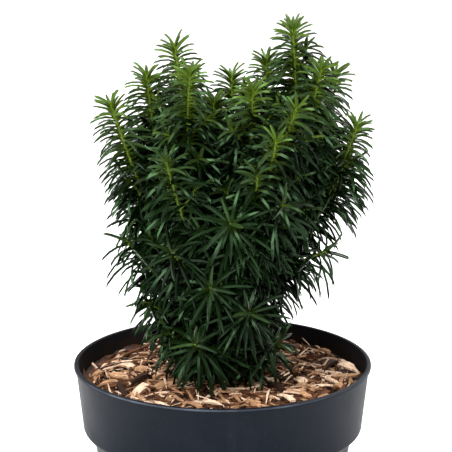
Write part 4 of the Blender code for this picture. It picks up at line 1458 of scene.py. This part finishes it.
def grow_needles(needles, path, radius, settings, habit, rng):
    """Needles in a spiral round one stem: short and upright at its tip, long and drooping below."""
    leafy = path.length * (1.0 - path.leafless)
    from_tip = 0.0
    turn = rng.uniform(0.0, 2.0 * math.pi)
    mood = rng.random()
    while from_tip < leafy:
        share = 1.0 - from_tip / path.length
        stem = path.at(share)
        axis = path.along(share)
        outward = Matrix.Rotation(turn, 3, axis) @ axis.orthogonal().normalized()
        if habit.parted:
            outward = parted(outward, axis)
        grown = min(1.0, from_tip / habit.growing) ** GROWING_POWER
        opened = min(1.0, from_tip / habit.opening) ** OPENING_POWER
        length = settings.scale * blend(habit.tip_length, habit.length, grown) * rng.uniform(0.84, 1.10)
        leave = blend(LEAVING_CLOSED, LEAVING_OPEN, opened)
        leave += rng.uniform(-LEAVING_SPREAD, LEAVING_SPREAD)
        arrive = blend(blend(ARRIVING_CLOSED, ARRIVING_OPEN, opened), ARRIVING_GROWN, grown * opened)
        arrive += rng.uniform(-ARRIVING_SPREAD, ARRIVING_SPREAD)
        droop = habit.droop * opened * length / FULL_LENGTH * rng.uniform(0.6, 1.4)
        width = settings.width * blend(NARROWEST, 1.0, min(1.0, length / FULL_LENGTH))
        width *= rng.uniform(0.88, 1.10)
        depth = math.hypot(stem.x - TRUNK_X, stem.y - TRUNK_Y)
        high_up = smoothly(LOW_FRESHNESS, 1.0, (stem.z - LOW_FRESH) / (HIGH_FRESH - LOW_FRESH))
        fresh = habit.fresh * high_up
        if from_tip < fresh * YOUNG_SHARE and stem.z > LOWEST_YOUNG:
            tone = "young"
        elif from_tip < fresh * (0.7 + 0.6 * mood):
            tone = "fresh"
        # Near the trunk's axis the darkest green is painted shade inside the crown.
        elif depth < INNER_DEPTH or mood < DEEP_MOOD and habit is not LEADER_HABIT:
            tone = "deep"
        else:
            tone = "grown"
        root = stem + outward * radius * ROOT_SHARE
        bends = (math.radians(leave), math.radians(arrive), droop, rng.uniform(-MOST_TWIST, MOST_TWIST))
        foot = (1.0 - smoothly(0.0, 1.0, from_tip / habit.pale)) * high_up
        needles.add(tone, root, axis, outward, length, width, *bends, rng.random(), foot)
        turn += GOLDEN_ANGLE
        pitch = blend(habit.tip_pitch, habit.pitch, min(1.0, from_tip / TIP_PITCH_SPAN))
        from_tip += pitch * rng.uniform(0.8, 1.2)


def needle_finish(name, colour, foot_colour):
    """A glossy needle whose green differs from needle to needle, with a pale foot on new stem."""
    finish = Finish(name, 0.28)
    drift = finish.noise(38.0, 3.0).between(0.34, 0.66)
    share = finish.attribute("shade") * 0.6 + drift * 0.4
    blade = finish.mix(share, shaded(colour, 0.55), shaded(colour, 1.45))
    finish.set("Base Color", finish.mix(finish.attribute("foot"), blade, foot_colour))
    finish.set("Specular IOR Level", 0.25)
    finish.set("Specular Tint", (0.52, 1.0, 0.48, 1.0))
    return finish.material


def build_needles(settings, twig_settings):
    """The needles of every stem, in one or more pieces for each tone."""
    needles = Needles()
    for shoot in all_shoots():
        rng = random.Random(f"needles {shoot.name}")
        habit = LEADER_HABIT if shoot.leader else UPRIGHT_HABIT if shoot.upright else SIDE_HABIT
        grow_needles(needles, shoot, twig_settings.stem_radius, settings, habit, rng)
        for twig in side_twigs(shoot, twig_settings):
            habit = SIDE_HABIT if twig.reaching else TWIG_HABIT
            grow_needles(needles, twig, twig_settings.twig_radius, settings, habit, rng)
    for tone, rows in needles.rows.items():
        finish = needle_finish(f"needle_{tone}_finish", getattr(settings, tone), settings.foot)
        parts = math.ceil(len(rows) * NEEDLE_TRIANGLES / MOST_TRIANGLES)
        for part in range(parts):
            vertices, quads, triangles, values = needle_arrays(rows[part::parts], settings.thickness)
            kept = ~rest_on_pot(vertices).reshape(-1, NEEDLE_CORNERS).any(axis=1)
            quads = quads[np.repeat(kept, len(quads) // len(kept))]
            triangles = triangles[np.repeat(kept, len(triangles) // len(kept))]
            used = np.repeat(kept, NEEDLE_CORNERS)
            places = np.cumsum(used) - 1
            name = f"needles_{tone}_{part + 1}"
            mesh = mesh_from_arrays(name, vertices[used], places[quads], places[triangles])
            for key, numbers in values.items():
                attribute = mesh.attributes.new(key, "FLOAT", "POINT")
                attribute.data.foreach_set("value", numbers[used].astype(np.float32))
            add_piece(name, smoothed(mesh, 50.0), finish, "yew_needles", *FOLIAGE_NODES)


SENSOR_WIDTH = 36.0
FLOOR_GAP = 0.0002
LAMP_AIM = Vector((0.0, 0.0, 0.22))


def build_stage(settings):
    """The camera, a wide pale floor and soft light."""
    scene = bpy.context.scene
    scene.view_settings.view_transform = "Standard"
    lens = bpy.data.cameras.new("camera")
    lens.sensor_fit = "HORIZONTAL"
    lens.sensor_width = SENSOR_WIDTH
    lens.lens = settings.lens
    camera = placed("camera", lens)
    camera.location = settings.camera_place
    camera.rotation_euler = (math.radians(90.0 - settings.camera_dip), 0.0, 0.0)
    scene.camera = camera

    cage = bmesh.new()
    bmesh.ops.create_circle(cage, cap_ends=True, segments=96, radius=settings.floor_radius)
    floor = placed("floor", mesh_from_cage("floor", cage))
    floor.location.z = -FLOOR_GAP
    finish = Finish("floor_finish", 0.8)
    finish.set("Base Color", (0.90, 0.90, 0.90, 1.0))
    finish.set("Specular IOR Level", 0.1)
    finish.set("Emission Color", (1.0, 1.0, 1.0, 1.0))
    finish.set("Emission Strength", settings.glow)
    floor.data.materials.append(finish.material)

    world = bpy.data.worlds.new("studio")
    world.use_nodes = True
    sky = world.node_tree.nodes["Background"]
    sky.inputs["Color"].default_value = (1.0, 1.0, 1.0, 1.0)
    sky.inputs["Strength"].default_value = settings.sky
    scene.world = world
    # Name, power, place and size.
    lamps = (
        ("key_light", settings.key, (-0.75, -1.05, 1.55), 1.2),
        ("fill_light", settings.fill, (1.45, -0.70, 0.95), 1.1),
        ("back_light", settings.fill, (0.55, 1.60, 1.35), 1.1),
    )
    for name, power, place, size in lamps:
        lamp = bpy.data.lights.new(name, "AREA")
        lamp.energy = power
        lamp.size = size
        holder = placed(name, lamp)
        holder.location = place
        holder.rotation_euler = (Vector(place) - LAMP_AIM).to_track_quat("Z", "Y").to_euler()


class YEW_OT_stage(Operator):
    """Set up the camera, the pale floor and the soft light"""

    bl_idname = "yew.stage"
    bl_label = "Stage"

    def execute(self, context):
        build_stage(context.scene.yew_stage)
        return {"FINISHED"}


class YEW_OT_pot(Operator):
    """Build the pot and the peat in it"""

    bl_idname = "yew.pot"
    bl_label = "Pot"

    def execute(self, context):
        build_pot(context.scene.yew_pot)
        build_soil()
        return {"FINISHED"}


class YEW_OT_mulch(Operator):
    """Build the crumbly mulch and lay chips of bark and wood on it"""

    bl_idname = "yew.mulch"
    bl_label = "Mulch"

    def execute(self, context):
        build_crumbs(context.scene.yew_mulch)
        build_chips(context.scene.yew_mulch)
        build_laid_chips(context.scene.yew_mulch)
        return {"FINISHED"}


class YEW_OT_limbs(Operator):
    """Build the trunk and the boughs with their bark"""

    bl_idname = "yew.limbs"
    bl_label = "Trunk and Boughs"

    def execute(self, context):
        build_limbs(context.scene.yew_twigs)
        return {"FINISHED"}


class YEW_OT_twigs(Operator):
    """Build the leafy shoots' stems and side twigs"""

    bl_idname = "yew.twigs"
    bl_label = "Twigs"

    def execute(self, context):
        build_twigs(context.scene.yew_twigs)
        return {"FINISHED"}


class YEW_OT_needles(Operator):
    """Grow the needles on every stem"""

    bl_idname = "yew.needles"
    bl_label = "Needles"

    def execute(self, context):
        build_needles(context.scene.yew_needles, context.scene.yew_twigs)
        return {"FINISHED"}


OPERATORS = (YEW_OT_stage, YEW_OT_pot, YEW_OT_mulch, YEW_OT_limbs, YEW_OT_twigs, YEW_OT_needles)
SETTINGS = (
    ("yew_pot", PotSettings),
    ("yew_mulch", MulchSettings),
    ("yew_twigs", TwigSettings),
    ("yew_needles", NeedleSettings),
    ("yew_stage", StageSettings),
)


class YEW_PT_panel(Panel):
    """Lists the pieces and their settings"""

    bl_idname = "YEW_PT_panel"
    bl_label = "Potted Yew"
    bl_space_type = "VIEW_3D"
    bl_region_type = "UI"
    bl_category = "Yew"

    def draw(self, context):
        for operator in OPERATORS:
            self.layout.operator(operator.bl_idname)
        for name, group in SETTINGS:
            box = self.layout.box()
            for key in group.__annotations__:
                box.prop(getattr(context.scene, name), key)


def register():
    for name, group in SETTINGS:
        bpy.utils.register_class(group)
        setattr(bpy.types.Scene, name, PointerProperty(type=group))
    for operator in OPERATORS:
        bpy.utils.register_class(operator)
    bpy.utils.register_class(YEW_PT_panel)


def unregister():
    bpy.utils.unregister_class(YEW_PT_panel)
    for operator in reversed(OPERATORS):
        bpy.utils.unregister_class(operator)
    for name, group in reversed(SETTINGS):
        delattr(bpy.types.Scene, name)
        bpy.utils.unregister_class(group)


def main():
    register()
    bpy.ops.yew.stage()
    bpy.ops.yew.pot()
    bpy.ops.yew.mulch()
    bpy.ops.yew.limbs()
    bpy.ops.yew.twigs()
    bpy.ops.yew.needles()


if __name__ == "__main__":
    main()
